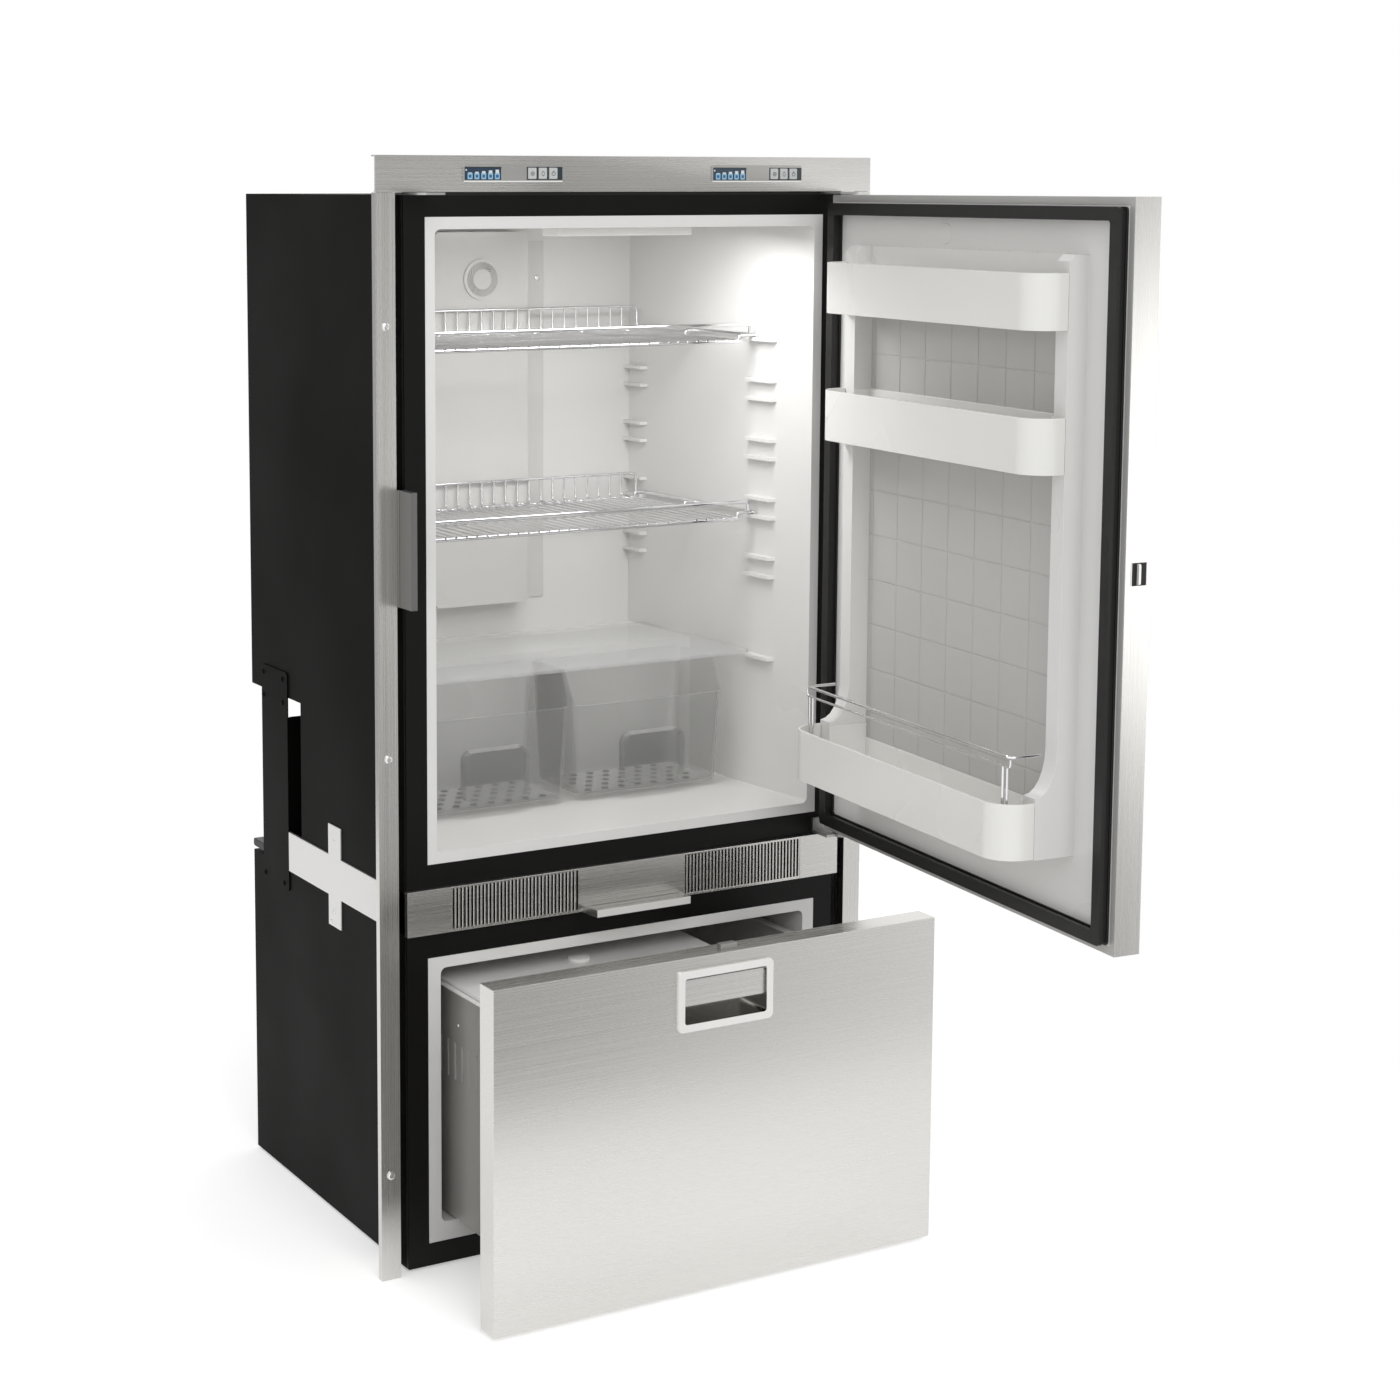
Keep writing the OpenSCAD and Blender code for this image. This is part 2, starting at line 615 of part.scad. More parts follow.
// Machine compartment under the notch
tray_z = lower_z1 + 13;
tray_t = 2.7;
module machine_tray() color("silver") {
    block([-half + 14, half - 14], [notch_y + 6, back_y + 1.5], [tray_z, tray_z + tray_t]);
    for (x = [-half + 14, -half + 150, half - 180, half - 44], y = [notch_y + 10, back_y - 36])
        block([x, x + 30], [y, y + 30], [lower_z1, tray_z]);
}
compressor_r = 48;
compressor_x = 130;
compressor_y = (notch_y + back_y) / 2 + 12;
compressor_h = 122;
foot_h = 10;
module compressor(x) translate([x, compressor_y, tray_z + tray_t]) {
    translate([0, 0, foot_h]) rotate_extrude($fn = 64) polygon(concat(
        [[0, 0], [compressor_r - 12, 0]], arc(compressor_r - 12, 12, 12, -90, 0, 4),
        [[compressor_r, 50], [compressor_r + 2, 50], [compressor_r + 2, 56], [compressor_r, 56]],
        arc(compressor_r - 30, compressor_h - 30, 30, 0, 90, 6), [[0, compressor_h]]));
    for (sx = [-1, 1], sy = [-1, 1]) translate([sx * 44, sy * 36, 0]) cylinder(r = 7, h = foot_h);
    block([-52, 52], [-44, 44], [foot_h, foot_h + 2.5]);
    block([compressor_r - 4, compressor_r + 16], [-18, 18], [foot_h + 62, foot_h + 100]);
    for (y = [-14, 14]) translate([-20, y, foot_h + compressor_h - 10])
        cylinder(r = 3, h = 22, $fn = 16);
}
module compressors() color("black") for (x = [-compressor_x, compressor_x]) compressor(x);

// Condenser: finned tubes that lie in the air channel
condenser_half = half - 70.5;
condenser_y = [case_y + 78, case_y + 238];
tube_pitch = 32;
module condenser() color("dimgray") {
    for (y = [condenser_y[0] + tube_pitch / 2 : tube_pitch : condenser_y[1]])
        translate([-condenser_half, y, lower_z1 + channel_h / 2]) rotate([0, 90, 0])
            cylinder(r = 4, h = 2 * condenser_half, $fn = 8);
    for (x = [8 - condenser_half : 16 : condenser_half - 8])
        block([x, x + 1], condenser_y, [lower_z1 + fit, upper_z0 - 3]);
}
shroud_y = notch_y + 8;
vent_fan_z = (tray_z + notch_z) / 2 - 6;
vent_fan_r = 52;
module fan_shroud() color("black") {
    difference() {
        block([-half + 16, half - 16], [shroud_y, shroud_y + 2], [tray_z + tray_t, notch_z - 24]);
        peg([0, shroud_y, vent_fan_z], vent_fan_r + 3, 20);
    }
    translate([0, shroud_y, vent_fan_z]) rotate([-90, 0, 0]) difference() {
        cylinder(r = vent_fan_r + 5, h = 26);
        translate([0, 0, -cut]) cylinder(r = vent_fan_r + 3, h = 26 + 2 * cut);
    }
    // Motor on three arms
    for (a = [90, 210, 330]) translate([0, 0, vent_fan_z]) rotate([0, a, 0])
        block([14, vent_fan_r + 4], [shroud_y + 22, shroud_y + 26], [-3, 3]);
    translate([0, shroud_y + 20, vent_fan_z]) rotate([-90, 0, 0]) cylinder(r = 16, h = 18);
    translate([0, shroud_y + 3, vent_fan_z]) rotate([-90, 0, 0]) cylinder(r = 2, h = 19);
}
module condenser_fan() color("dimgray") translate([0, shroud_y + 4, vent_fan_z]) difference() {
    fan_blades(vent_fan_r, 18, 7, 15.5);
    peg([0, 8, 0], 2 + run, 40);
}

// Wire shelves: welded rails with front-to-back wires, a front bar and a rear fence
shelf_y = [behind(shelf_front), cover_front - shelf_gap];
floor_half = wall_x(rear_y) - rib_out - 2.4;
rail_end = wall_x(shelf_y[0]) - rib_out - rail_d / 2 - 0.8;
strut_d = 0.8 * rail_d;
module wire(a, b, d) {
    v = b - a;
    l = norm(v);
    translate(a) rotate([0, acos(v[2] / l), atan2(v[1], v[0])]) cylinder(d = d, h = l, $fn = 8);
}
module bent_wire(pts, d) for (i = [0:len(pts) - 2]) {
    wire(pts[i], pts[i + 1], d);
    translate(pts[i + 1]) rotate([90, 0, 0]) cylinder(d = d, h = d * 0.8, center = true, $fn = 8);
}
// z is the top of the support ribs: the side rails lie on them
function side_z(z) = z + rail_d / 2 + fit;
function floor_z(z) = side_z(z) - 7;
module wire_shelf(z) color("silver") {
    rails = [shelf_y[0], (shelf_y[0] + shelf_y[1]) / 2, shelf_y[1]];
    for (y = rails) wire([-floor_half, y, floor_z(z)], [floor_half, y, floor_z(z)], rail_d);
    both() {
        // Side rail in the slot between the ribs, joined to the floor by struts
        bent_wire([[wall_x(shelf_y[0]) - rail_d / 2 - 1.5, shelf_y[0] - 3, side_z(z)],
            [wall_x(shelf_y[1]) - rail_d / 2 - 1.5, shelf_y[1], side_z(z)]], rail_d);
        for (y = rails) bent_wire([[floor_half - 2, y, floor_z(z)], [floor_half - 2, y, side_z(z)],
            [wall_x(y) - rail_d / 2 - 1.5, y, side_z(z)]], strut_d);
    }
    wires = floor(2 * (floor_half - 4) / wire_pitch);
    for (i = [0:wires]) let (x = (i - wires / 2) * wire_pitch)
        wire([x, shelf_y[0] - rail_d / 2, floor_z(z) + rail_d / 2],
            [x, shelf_y[1] - 0.6 * wire_d, floor_z(z) + rail_d / 2], wire_d);
}
// Front bar on the struts, and the fence on the rear rail
module shelf_guard(z) color("silver") {
    front_z = side_z(z) + 12.2;
    both() wire([rail_end, shelf_y[0], side_z(z) + strut_d / 2],
        [rail_end, shelf_y[0], front_z], rail_d);
    wire([-rail_end, shelf_y[0], front_z], [rail_end, shelf_y[0], front_z], rail_d);
    posts = floor(2 * (floor_half - 4) / fence_pitch);
    for (i = [0:posts]) let (x = (i - posts / 2) * fence_pitch)
        wire([x, shelf_y[1], floor_z(z) + rail_d / 2],
            [x, shelf_y[1], floor_z(z) + fence_h], wire_d);
    wire([-floor_half, shelf_y[1], floor_z(z) + fence_h],
        [floor_half, shelf_y[1], floor_z(z) + fence_h], rail_d);
}
module wire_shelf_upper() wire_shelf(rib_z(4));
module wire_shelf_lower() wire_shelf(rib_z(1));
module shelf_guard_upper() shelf_guard(rib_z(4));
module shelf_guard_lower() shelf_guard(rib_z(1));
// Clear shelf with two rounded front corners
clear_r = 14;
module clear_shelf() color("lightcyan", 0.4) flat(clear_z, clear_z + clear_t) {
    corner_y = shelf_y[0] + clear_r;
    corner_x = wall_x(corner_y) - 1.5 - clear_r;
    back_x = wall_x(shelf_y[1]) - 1.5;
    polygon(concat(arc(corner_x, corner_y, clear_r, -90, 0, 6),
        [[back_x, shelf_y[1]], [-back_x, shelf_y[1]]],
        arc(-corner_x, corner_y, clear_r, 180, 270, 6)));
}

// Crispers: drafted clear bins with skids and a tab to pull them by
crisper_y = [behind(crisper_front), step_y - 3];
crisper_w = wall_x(crisper_y[1]) - 21;
crisper_gap = 1;
crisper_z = up_floor + 6;
module crisper_body(t) intersection() {
    upright(crisper_y[0] + t, crisper_y[1] - t) polygon([
        [crisper_gap + crisper_draft + t, crisper_z + t],
        [crisper_gap + crisper_w - crisper_draft - t, crisper_z + t],
        [crisper_gap + crisper_w - t, crisper_z + crisper_h + (t > 0 ? cut : 0)],
        [crisper_gap + t, crisper_z + crisper_h + (t > 0 ? cut : 0)]]);
    if (t == 0) sideways(0, crisper_w + 10) polygon([
        [crisper_y[0], crisper_z], [crisper_y[1], crisper_z], [crisper_y[1], crisper_z + crisper_h],
        [crisper_y[0] + 26, crisper_z + crisper_h], [crisper_y[0] + 6, crisper_z + crisper_front_h],
        [crisper_y[0], crisper_z + crisper_front_h]]);
}
module crisper() color("white", 0.5) {
    difference() {
        crisper_body(0);
        crisper_body(crisper_t);
    }
    mid = crisper_gap + crisper_w / 2;
    // Pull: a pocket that the fingers go into from below
    difference() {
        upright(crisper_y[0] - pull_d, crisper_y[0] + crisper_t / 2)
            round_area([mid - pull_w / 2, mid + pull_w / 2], [crisper_z + 10, crisper_z + 70], 8);
        upright(crisper_y[0] - pull_d + crisper_t, crisper_y[0] + crisper_t)
            round_area([mid - pull_w / 2 + crisper_t, mid + pull_w / 2 - crisper_t],
                [crisper_z, crisper_z + 70 - crisper_t], 6);
    }
    for (x = [crisper_gap + crisper_draft + 14, crisper_gap + crisper_w - crisper_draft - 20])
        block([x, x + 6], [crisper_y[0] + 6, crisper_y[1] - 6],
            [up_floor + fit, crisper_z + crisper_t / 2]);
}
module crisper_right() crisper();
module crisper_left() mirror([1, 0, 0]) crisper();

// Handles: a bezel with a hand recess, a paddle on a pin and the latch it draws back.
// Each is drawn for the drawer, round the middle of the bezel, with the face at y = 0.
in_w = bezel_w - 2 * bezel_b;
in_h = bezel_h - 2 * bezel_b;
latch_x = 11;
latch_w = 19.8;
edge_up = bezel_h / 2 + bezel_inset;
hinge_up = in_h / 2 - 4.2;
paddle_y = 5;
module bezel() color("silver") difference() {
    union() {
        upright(-3, 0) round_area([-bezel_w / 2, bezel_w / 2], [-bezel_h / 2, bezel_h / 2], 6);
        upright(0, recess_d + 1.5) round_area([-in_w / 2 - 2, in_w / 2 + 2],
            [-in_h / 2 - 2, in_h / 2 + 2], 4);
    }
    upright(-3 - cut, recess_d) round_area([-in_w / 2, in_w / 2], [-in_h / 2, in_h / 2], 3);
    translate([0, paddle_y, hinge_up]) rotate([0, 90, 0])
        cylinder(r = 2 + run, h = in_w + 10, center = true);
}
module paddle() color("gainsboro") {
    paddle_h = in_h * paddle_share;
    upright(0.5, 3.5) round_area([-in_w / 2 + 0.6, in_w / 2 - 0.6],
        [in_h / 2 - paddle_h, hinge_up + 1.5], 3);
    translate([-in_w / 2 + 3, paddle_y, hinge_up]) rotate([0, 90, 0])
        cylinder(r = 3.4, h = in_w - 6);
    translate([-in_w / 2 - 1.6, paddle_y, hinge_up]) rotate([0, 90, 0])
        cylinder(r = 2, h = in_w + 3.2);
}
module latch(tip) color("silver")
    block([latch_x - latch_w / 2, latch_x + latch_w / 2], [9.7, 18.1],
        [edge_up - 14, edge_up + tip]);
module handle_pocket() {
    block([-in_w / 2 - 2 - fit, in_w / 2 + 2 + fit], [-cut, recess_d + 1.8],
        [-in_h / 2 - 2 - fit, in_h / 2 + 2 + fit]);
    block([latch_x - latch_w / 2 - fit, latch_x + latch_w / 2 + fit], [9.4, 18.4],
        [edge_up - 18, edge_up + cut]);
}
drawer_z = [lower_z0 + 1.6, lower_z1 - 4.2];
door_tip = 3.5;
drawer_tip = catch_z[0] - 0.6 - drawer_z[1];
door_handle_z = door_z[0] + 353.5;
module on_drawer() translate([0.65, panel_y0, drawer_z[1] - edge_up]) children();
module on_door() translate([-half + edge_up, panel_y0, door_handle_z]) rotate([0, -90, 0]) children();

// Panels: a folded steel skin round an insulated core
module panel_skin(z) difference() {
    block([-half, half], [panel_y0, panel_y1], z);
    block([-half + skin_t, half - skin_t], [panel_y0 + skin_t, panel_y1 - skin_t],
        [z[0] + skin_t, z[1] - skin_t]);
    block([-half + fold_w, half - fold_w], [panel_y1 - skin_t - cut, panel_y1 + cut],
        [z[0] + fold_w, z[1] - fold_w]);
}
module panel_gasket(z) color("black") {
    x0 = -half + gasket_inset;
    upright(panel_y1, frame_y - fit) gasket_ring(x0 + 2, z, gasket_w - 4, 2);
    upright(frame_y - 5, frame_y - fit) gasket_ring(x0, z, gasket_w, 0);
    upright(panel_y1, panel_y1 + 2.5) gasket_ring(x0, z, gasket_w, 0);
}
module gasket_ring(x0, z, w, d) difference() {
    round_area([x0, -x0], [z[0] + gasket_inset + d, z[1] - gasket_inset - d], 4);
    round_area([x0 + w, -x0 - w], [z[0] + gasket_inset + d + w, z[1] - gasket_inset - d - w], 3);
}

// Door, drawn closed and swung about its pins
module at_door() translate([pin_x, pin_y, 0]) rotate([0, 0, door_open])
    translate([-pin_x, -pin_y, 0]) children();
module sleeves(r) for (z = [door_z[0], door_z[1] - sleeve_l])
    translate([pin_x, pin_y, z]) cylinder(r = r, h = sleeve_l);
module door_skin() color("silver") at_door() difference() {
    union() {
        panel_skin(door_z);
        sleeves(pin_r + 2.5);
    }
    translate([pin_x, pin_y, door_z[0] - cut]) cylinder(r = pin_r + run, h = sleeve_l + 4);
    translate([pin_x, pin_y, door_z[1] - sleeve_l - cut]) cylinder(r = pin_r + run, h = sleeve_l + 4);
    on_door() handle_pocket();
}
module door_core() color("khaki") at_door() difference() {
    block([-half + skin_t, half - skin_t], [panel_y0 + skin_t, panel_y1 - 2],
        [door_z[0] + skin_t, door_z[1] - skin_t]);
    for (z = [door_z[0], door_z[1] - sleeve_l - 3]) translate([pin_x, pin_y, z - cut])
        cylinder(r = pin_r + 2.8, h = sleeve_l + 3 + 2 * cut);
    on_door() handle_pocket();
}

// Door liner: flat border, two rails with a cheek at the foot, and a grooved panel
rail_top = door_z[1] - 54;
rail_bottom = door_z[0] + 82;
cheek_h = 60;
cheek_out = 24;
module door_liner() color("white") at_door() difference() {
    union() {
        block([-half + skin_t, half - skin_t], [panel_y1 - 2, panel_y1 - skin_t],
            [door_z[0] + skin_t, door_z[1] - skin_t]);
        block([-half + fold_w, half - fold_w], [panel_y1 - skin_t, panel_y1],
            [door_z[0] + fold_w, door_z[1] - fold_w]);
        both() sideways(bin_half - rail_w, bin_half) polygon([
            [panel_y1 - 1, rail_bottom], [panel_y1 + rail_h + cheek_out, rail_bottom],
            for (a = [90:-15:0]) [panel_y1 + rail_h + cheek_out * (1 - cos(a)),
                rail_bottom + cheek_h + 44 * (1 - sin(a))],
            [panel_y1 + rail_h, rail_top - 6], [panel_y1 + rail_h - 6, rail_top],
            [panel_y1 - 1, rail_top]]);
    }
    for (x = [-bin_half + rail_w + 15 : tile : bin_half - rail_w])
        block([x - 0.8, x + 0.8], [panel_y1 - 0.8, panel_y1 + cut], [rail_bottom, rail_top]);
    for (z = [rail_bottom + 20 : tile : rail_top])
        block([-bin_half + rail_w, bin_half - rail_w], [panel_y1 - 0.8, panel_y1 + cut],
            [z - 0.8, z + 0.8]);
}
module door_gasket() at_door() panel_gasket(door_z);

// Bins: a rounded front wall in front of the rails, and a floor that reaches between them
module bin_plan(t, y0, y1) intersection() {
    w = bin_half - t;
    r = bin_r - t;
    translate([-w, y0]) square([2 * w, y1 - y0]);
    union() {
        translate([-w, y0 - r]) square([2 * w, y1 - y0]);
        translate([-w + r, y0]) square([2 * w - 2 * r, y1 - y0]);
        for (s = [-1, 1]) translate([s * (w - r), y1 - r]) circle(r, $fn = 64);
    }
}
module bin(z, h, back, front, back_h) color("white", 0.6) at_door() {
    inner = bin_half - rail_w - fit;
    difference() {
        flat(z, z + h) bin_plan(0, back, front);
        flat(z + bin_t, z + h + cut) bin_plan(bin_t, back - cut, front - bin_t);
    }
    block([-inner, inner], [panel_y1 + fit, back + cut], [z, z + bin_t]);
    block([-inner, inner], [panel_y1 + fit, panel_y1 + fit + 2], [z, z + back_h]);
    both() block([inner - 2, inner], [panel_y1 + fit, back + cut], [z, z + h]);
}
rail_face = panel_y1 + rail_h + fit;
module bin_top()
    bin(rail_top - top_bin_drop, bin_wall, rail_face, panel_y1 + bin_reach, top_back_h);
module bin_middle()
    bin(rail_top - middle_bin_drop, bin_wall, rail_face, panel_y1 + bin_reach, bin_wall);
module bin_bottom()
    bin(rail_bottom + 1, bin_wall + 1, rail_face + cheek_out, panel_y1 + low_bin_reach, 40);
module bottle_rail() color("silver") at_door() {
    y = panel_y1 + low_bin_reach - 18;
    z = rail_bottom + 100;
    x = bin_half - rail_w / 2;
    for (h = [0, -10]) bent_wire([[-x, y, z + h], [x, y, z + h]], 4);
    both() {
        bent_wire([[x, y, z - 10], [x, y, z]], 4);
        bent_wire([[x, y, z], [x, panel_y1 + rail_h + 12, z]], 4);
        bent_wire([[x - 12, y, z - 10], [x - 12, y, rail_bottom + 6]], 4);
    }
}
module door_bezel() at_door() on_door() bezel();
module door_paddle() at_door() on_door() paddle();
module door_latch() at_door() on_door() latch(door_tip);

// Drawer, drawn closed and pulled out on its runners
module at_drawer() translate([0, -drawer_out, 0]) children();
box_y = [panel_y1, panel_y1 + drawer_len];
box_z = [low_floor + 3, low_floor + drawer_rim];
module drawer_skin() color("silver") at_drawer() difference() {
    panel_skin(drawer_z);
    on_drawer() handle_pocket();
}
module drawer_core() color("white") at_drawer() difference() {
    union() {
        block([-half + skin_t, half - skin_t], [panel_y0 + skin_t, panel_y1 - skin_t],
            [drawer_z[0] + skin_t, drawer_z[1] - skin_t]);
        block([-half + fold_w, half - fold_w], [panel_y1 - skin_t - cut, panel_y1],
            [drawer_z[0] + fold_w, drawer_z[1] - fold_w]);
    }
    on_drawer() handle_pocket();
}
module drawer_gasket() at_drawer() panel_gasket(drawer_z);
slot_pitch = 16;
module drawer_box() color("lightgray") at_drawer() {
    difference() {
        block([-box_half, box_half], box_y, box_z);
        block([-box_half + drawer_wall, box_half - drawer_wall],
            [box_y[0] + drawer_wall, box_y[1] - drawer_wall], [box_z[0] + drawer_wall, box_z[1] + cut]);
        for (i = [0:9]) block([-half, half],
            [box_y[0] + 95 + slot_pitch * i, box_y[0] + 98 + slot_pitch * i],
            [box_z[1] - 97, box_z[1] - 57]);
    }
    // Folded rim
    difference() {
        block([-box_half - 5, box_half + 5], box_y, [box_z[1], box_z[1] + 1.5]);
        block([-box_half + 6, box_half - 6], [box_y[0] + 18, box_y[1] - 14],
            [box_z[1] - cut, box_z[1] + 1.5 + cut]);
    }
    runner_inner();
}
module drawer_bezel() at_drawer() on_drawer() bezel();
module drawer_paddle() at_drawer() on_drawer() paddle();
module drawer_latch() at_drawer() on_drawer() latch(drawer_tip);
cover_x0 = -box_half + drawer_wall + 1;
module freezer_cover() color("white") at_drawer() {
    block([cover_x0, cover_x0 + cover_w], [box_y[0] + 14, box_y[1] - 8],
        [box_z[1] + 1.8, box_z[1] + 5.8]);
    translate([-54, box_y[0] + 180, box_z[1] + 5.8]) cylinder(r = 12, h = 3);
}

base_plate();
lower_case();
lower_foam();
lower_liner();
upper_case();
upper_foam();
upper_liner();
front_frames();
flange_stiles();
flange_top();
bracket_plates();
gap_covers();
vent_grille();
catches();
control_panels();
display_windows();
evaporator_cover();
evaporators();
ceiling_lamp();
hinge_brackets();
runner_rails();
machine_tray();
compressors();
condenser();
fan_shroud();
button(controls_x[0], 1);  // button_left_1
button(controls_x[0], 2);  // button_left_2
button(controls_x[0], 3);  // button_left_3
button(controls_x[1], 1);  // button_right_1
button(controls_x[1], 2);  // button_right_2
button(controls_x[1], 3);  // button_right_3
cooling_fan();
condenser_fan();
wire_shelf_upper();
wire_shelf_lower();
shelf_guard_upper();
shelf_guard_lower();
clear_shelf();
crisper_left();
crisper_right();
runner_mids();
door_skin();
door_core();
door_liner();
door_gasket();
bin_top();
bin_middle();
bin_bottom();
bottle_rail();
door_bezel();
door_paddle();
door_latch();
drawer_skin();
drawer_core();
drawer_gasket();
drawer_box();
drawer_bezel();
drawer_paddle();
drawer_latch();
freezer_cover();
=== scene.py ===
# %% [markdown]
# A built-in refrigerator: a steel-fronted cabinet with a hinged door above and a drawer
# below. The construction comes in as a fixed frame, and this script gives each part its
# finish. Everything is in metres: +X is the viewer's right, +Y goes back into the wall
# and +Z is up.

# %% Load the frame
import json
import math

import bmesh
import bpy
from mathutils import Matrix, Vector

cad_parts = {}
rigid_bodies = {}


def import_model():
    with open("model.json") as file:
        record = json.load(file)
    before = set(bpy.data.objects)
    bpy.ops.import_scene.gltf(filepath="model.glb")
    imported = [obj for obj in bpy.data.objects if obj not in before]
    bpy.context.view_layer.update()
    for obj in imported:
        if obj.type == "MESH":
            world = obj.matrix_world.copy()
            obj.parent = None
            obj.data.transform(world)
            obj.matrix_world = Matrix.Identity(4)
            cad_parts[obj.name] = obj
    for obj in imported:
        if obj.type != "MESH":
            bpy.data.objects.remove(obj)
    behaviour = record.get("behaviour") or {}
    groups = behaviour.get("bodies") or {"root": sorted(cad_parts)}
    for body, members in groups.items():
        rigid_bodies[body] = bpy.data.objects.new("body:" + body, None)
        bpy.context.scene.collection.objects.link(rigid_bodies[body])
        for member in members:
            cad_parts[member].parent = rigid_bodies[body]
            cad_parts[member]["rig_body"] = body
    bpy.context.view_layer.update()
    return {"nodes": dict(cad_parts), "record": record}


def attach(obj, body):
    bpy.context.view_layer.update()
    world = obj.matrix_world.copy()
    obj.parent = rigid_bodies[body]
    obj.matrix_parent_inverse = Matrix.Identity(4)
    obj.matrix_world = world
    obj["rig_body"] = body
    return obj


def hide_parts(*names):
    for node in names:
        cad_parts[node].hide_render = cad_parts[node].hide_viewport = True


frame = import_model()
slot_of = {row["node"]: row["material_slot"] for row in frame["record"]["subparts"]}
mm = 0.001
print("parts in the frame:", len(frame["nodes"]))

# %% [markdown]
# The camera stands in front on the left, about as high as the top of the unit, and looks
# slightly down. A long lens and a shifted frame keep the upright edges almost parallel, as a
# product photograph does.

# %% Camera
camera_data = bpy.data.cameras.new("camera")
camera = bpy.data.objects.new("camera", camera_data)
bpy.context.scene.collection.objects.link(camera)
bpy.context.scene.camera = camera
image_size = 1400
focal_pixels = 2584.43
axis_x, axis_y = 521.28, 501.25
camera_data.sensor_width = 36
camera_data.lens = focal_pixels / image_size * camera_data.sensor_width
camera_data.shift_x = (image_size / 2 - axis_x) / image_size
camera_data.shift_y = (axis_y - image_size / 2) / image_size
camera.location = (-1.42258, -2.5777, 1.1513)
camera.rotation_euler = (math.radians(90 - 6.985), 0, math.radians(-28.52))
print("lens", round(camera_data.lens, 2), "mm")

# %% [markdown]
# The studio is a pale floor under a white surround. To the camera the surround is white. In
# reflections it has a grey band, from the front on the right over the top to the back on the
# left, so that brushed steel shows its shape and black paint stays black. As a light it is
# soft and even, so that the insides of the compartments stay bright.

# %% World
scene = bpy.context.scene
scene.view_settings.view_transform = "Standard"


def connect(socket, value):
    """Sets an input to a value, or links it to a socket or to a node's first output."""
    if isinstance(value, bpy.types.Node):
        value = value.outputs[0]
    if isinstance(value, bpy.types.NodeSocket):
        socket.id_data.links.new(value, socket)
    else:
        socket.default_value = value


def feed(node, *values, **named):
    """Connects inputs of a node, in their order or by name, and returns the node."""
    for socket, value in zip(node.inputs, values):
        connect(socket, value)
    for name, value in named.items():
        connect(node.inputs[name.replace("_", " ")], value)
    return node


def node_maker(tree):
    """A short way to add a node to a tree, with its operation and its inputs."""
    def add(kind, operation=None, *values, **named):
        node = tree.nodes.new(kind)
        if operation:
            node.operation = operation
        return feed(node, *values, **named)
    return add


white = (1, 1, 1, 1)
band_lean, band_shift = 0.5, 0.05
world = bpy.data.worlds.new("studio")
scene.world = world
world.use_nodes = True
world.node_tree.nodes.clear()
add = node_maker(world.node_tree)
path = add("ShaderNodeLightPath").outputs
seen = add("ShaderNodeMath", "MAXIMUM", path["Is Camera Ray"], path["Is Transmission Ray"])
direction = add("ShaderNodeTexCoord").outputs["Generated"]
axes = add("ShaderNodeSeparateXYZ", Vector=direction).outputs
half_back = add("ShaderNodeMath", "MULTIPLY_ADD", axes["Y"], band_lean, axes["X"])
from_band = add("ShaderNodeMath", "ADD", half_back, band_shift)
aside = add("ShaderNodeMath", "ABSOLUTE", from_band)
room = add("ShaderNodeMapRange", Value=aside, From_Min=0.03, From_Max=0.36, To_Min=0.20,
           To_Max=1.15)
soft_sky = add("ShaderNodeBackground", Color=white, Strength=0.78)
room_sky = add("ShaderNodeBackground", Color=white, Strength=room)
white_sky = add("ShaderNodeBackground", Color=white, Strength=1.0)
gloss_mix = add("ShaderNodeMixShader", None, path["Is Glossy Ray"], soft_sky, room_sky)
sky_mix = add("ShaderNodeMixShader", None, seen, gloss_mix, white_sky)
add("ShaderNodeOutputWorld", Surface=sky_mix)
print("world nodes:", len(world.node_tree.nodes))

# %% [markdown]
# Four rectangular lamps do the rest. A large one stands in front, high up on the left, and a
# weak one lights the open door from the right. Two small ones hang under the ceilings of the
# compartments, because a deep white box stays grey without a light of its own.

# %% Lamps


def lamp(name, place, target, wide, tall, power):
    """A rectangular lamp at place, turned towards target."""
    data = bpy.data.lights.new(name, "AREA")
    data.shape = "RECTANGLE"
    data.size, data.size_y = wide, tall
    data.energy = power
    made = bpy.data.objects.new(name, data)
    scene.collection.objects.link(made)
    made.location = place
    made.rotation_euler = (Vector(target) - Vector(place)).to_track_quat("-Z", "Y").to_euler()


lamp("key", (-0.7, -3.5, 3.0), (0, 0, 0.6), 1.8, 1.8, 38)
lamp("side", (2.0, -3.3, 0.5), (0.2, -0.6, 0.6), 0.8, 0.9, 5)
lamp("inside", (0.002, -0.173, 1.094), (0.0, -0.13, 0.5), 0.34, 0.12, 1.25)
lamp("inside_low", (0.0, -0.14, 0.338), (0.0, -0.14, 0.0), 0.36, 0.10, 1.2)

# %% [markdown]
# The floor has to look white and still hold the unit's shadow. A pale surface does the
# second. A glow that only the camera and reflections see lifts it to white, without
# throwing any light on the unit.

# %% Floor


def new_finish(name):
    """A material with its node maker and its main shader."""
    made = bpy.data.materials.new(name)
    made.use_nodes = True
    return made, node_maker(made.node_tree), made.node_tree.nodes["Principled BSDF"]


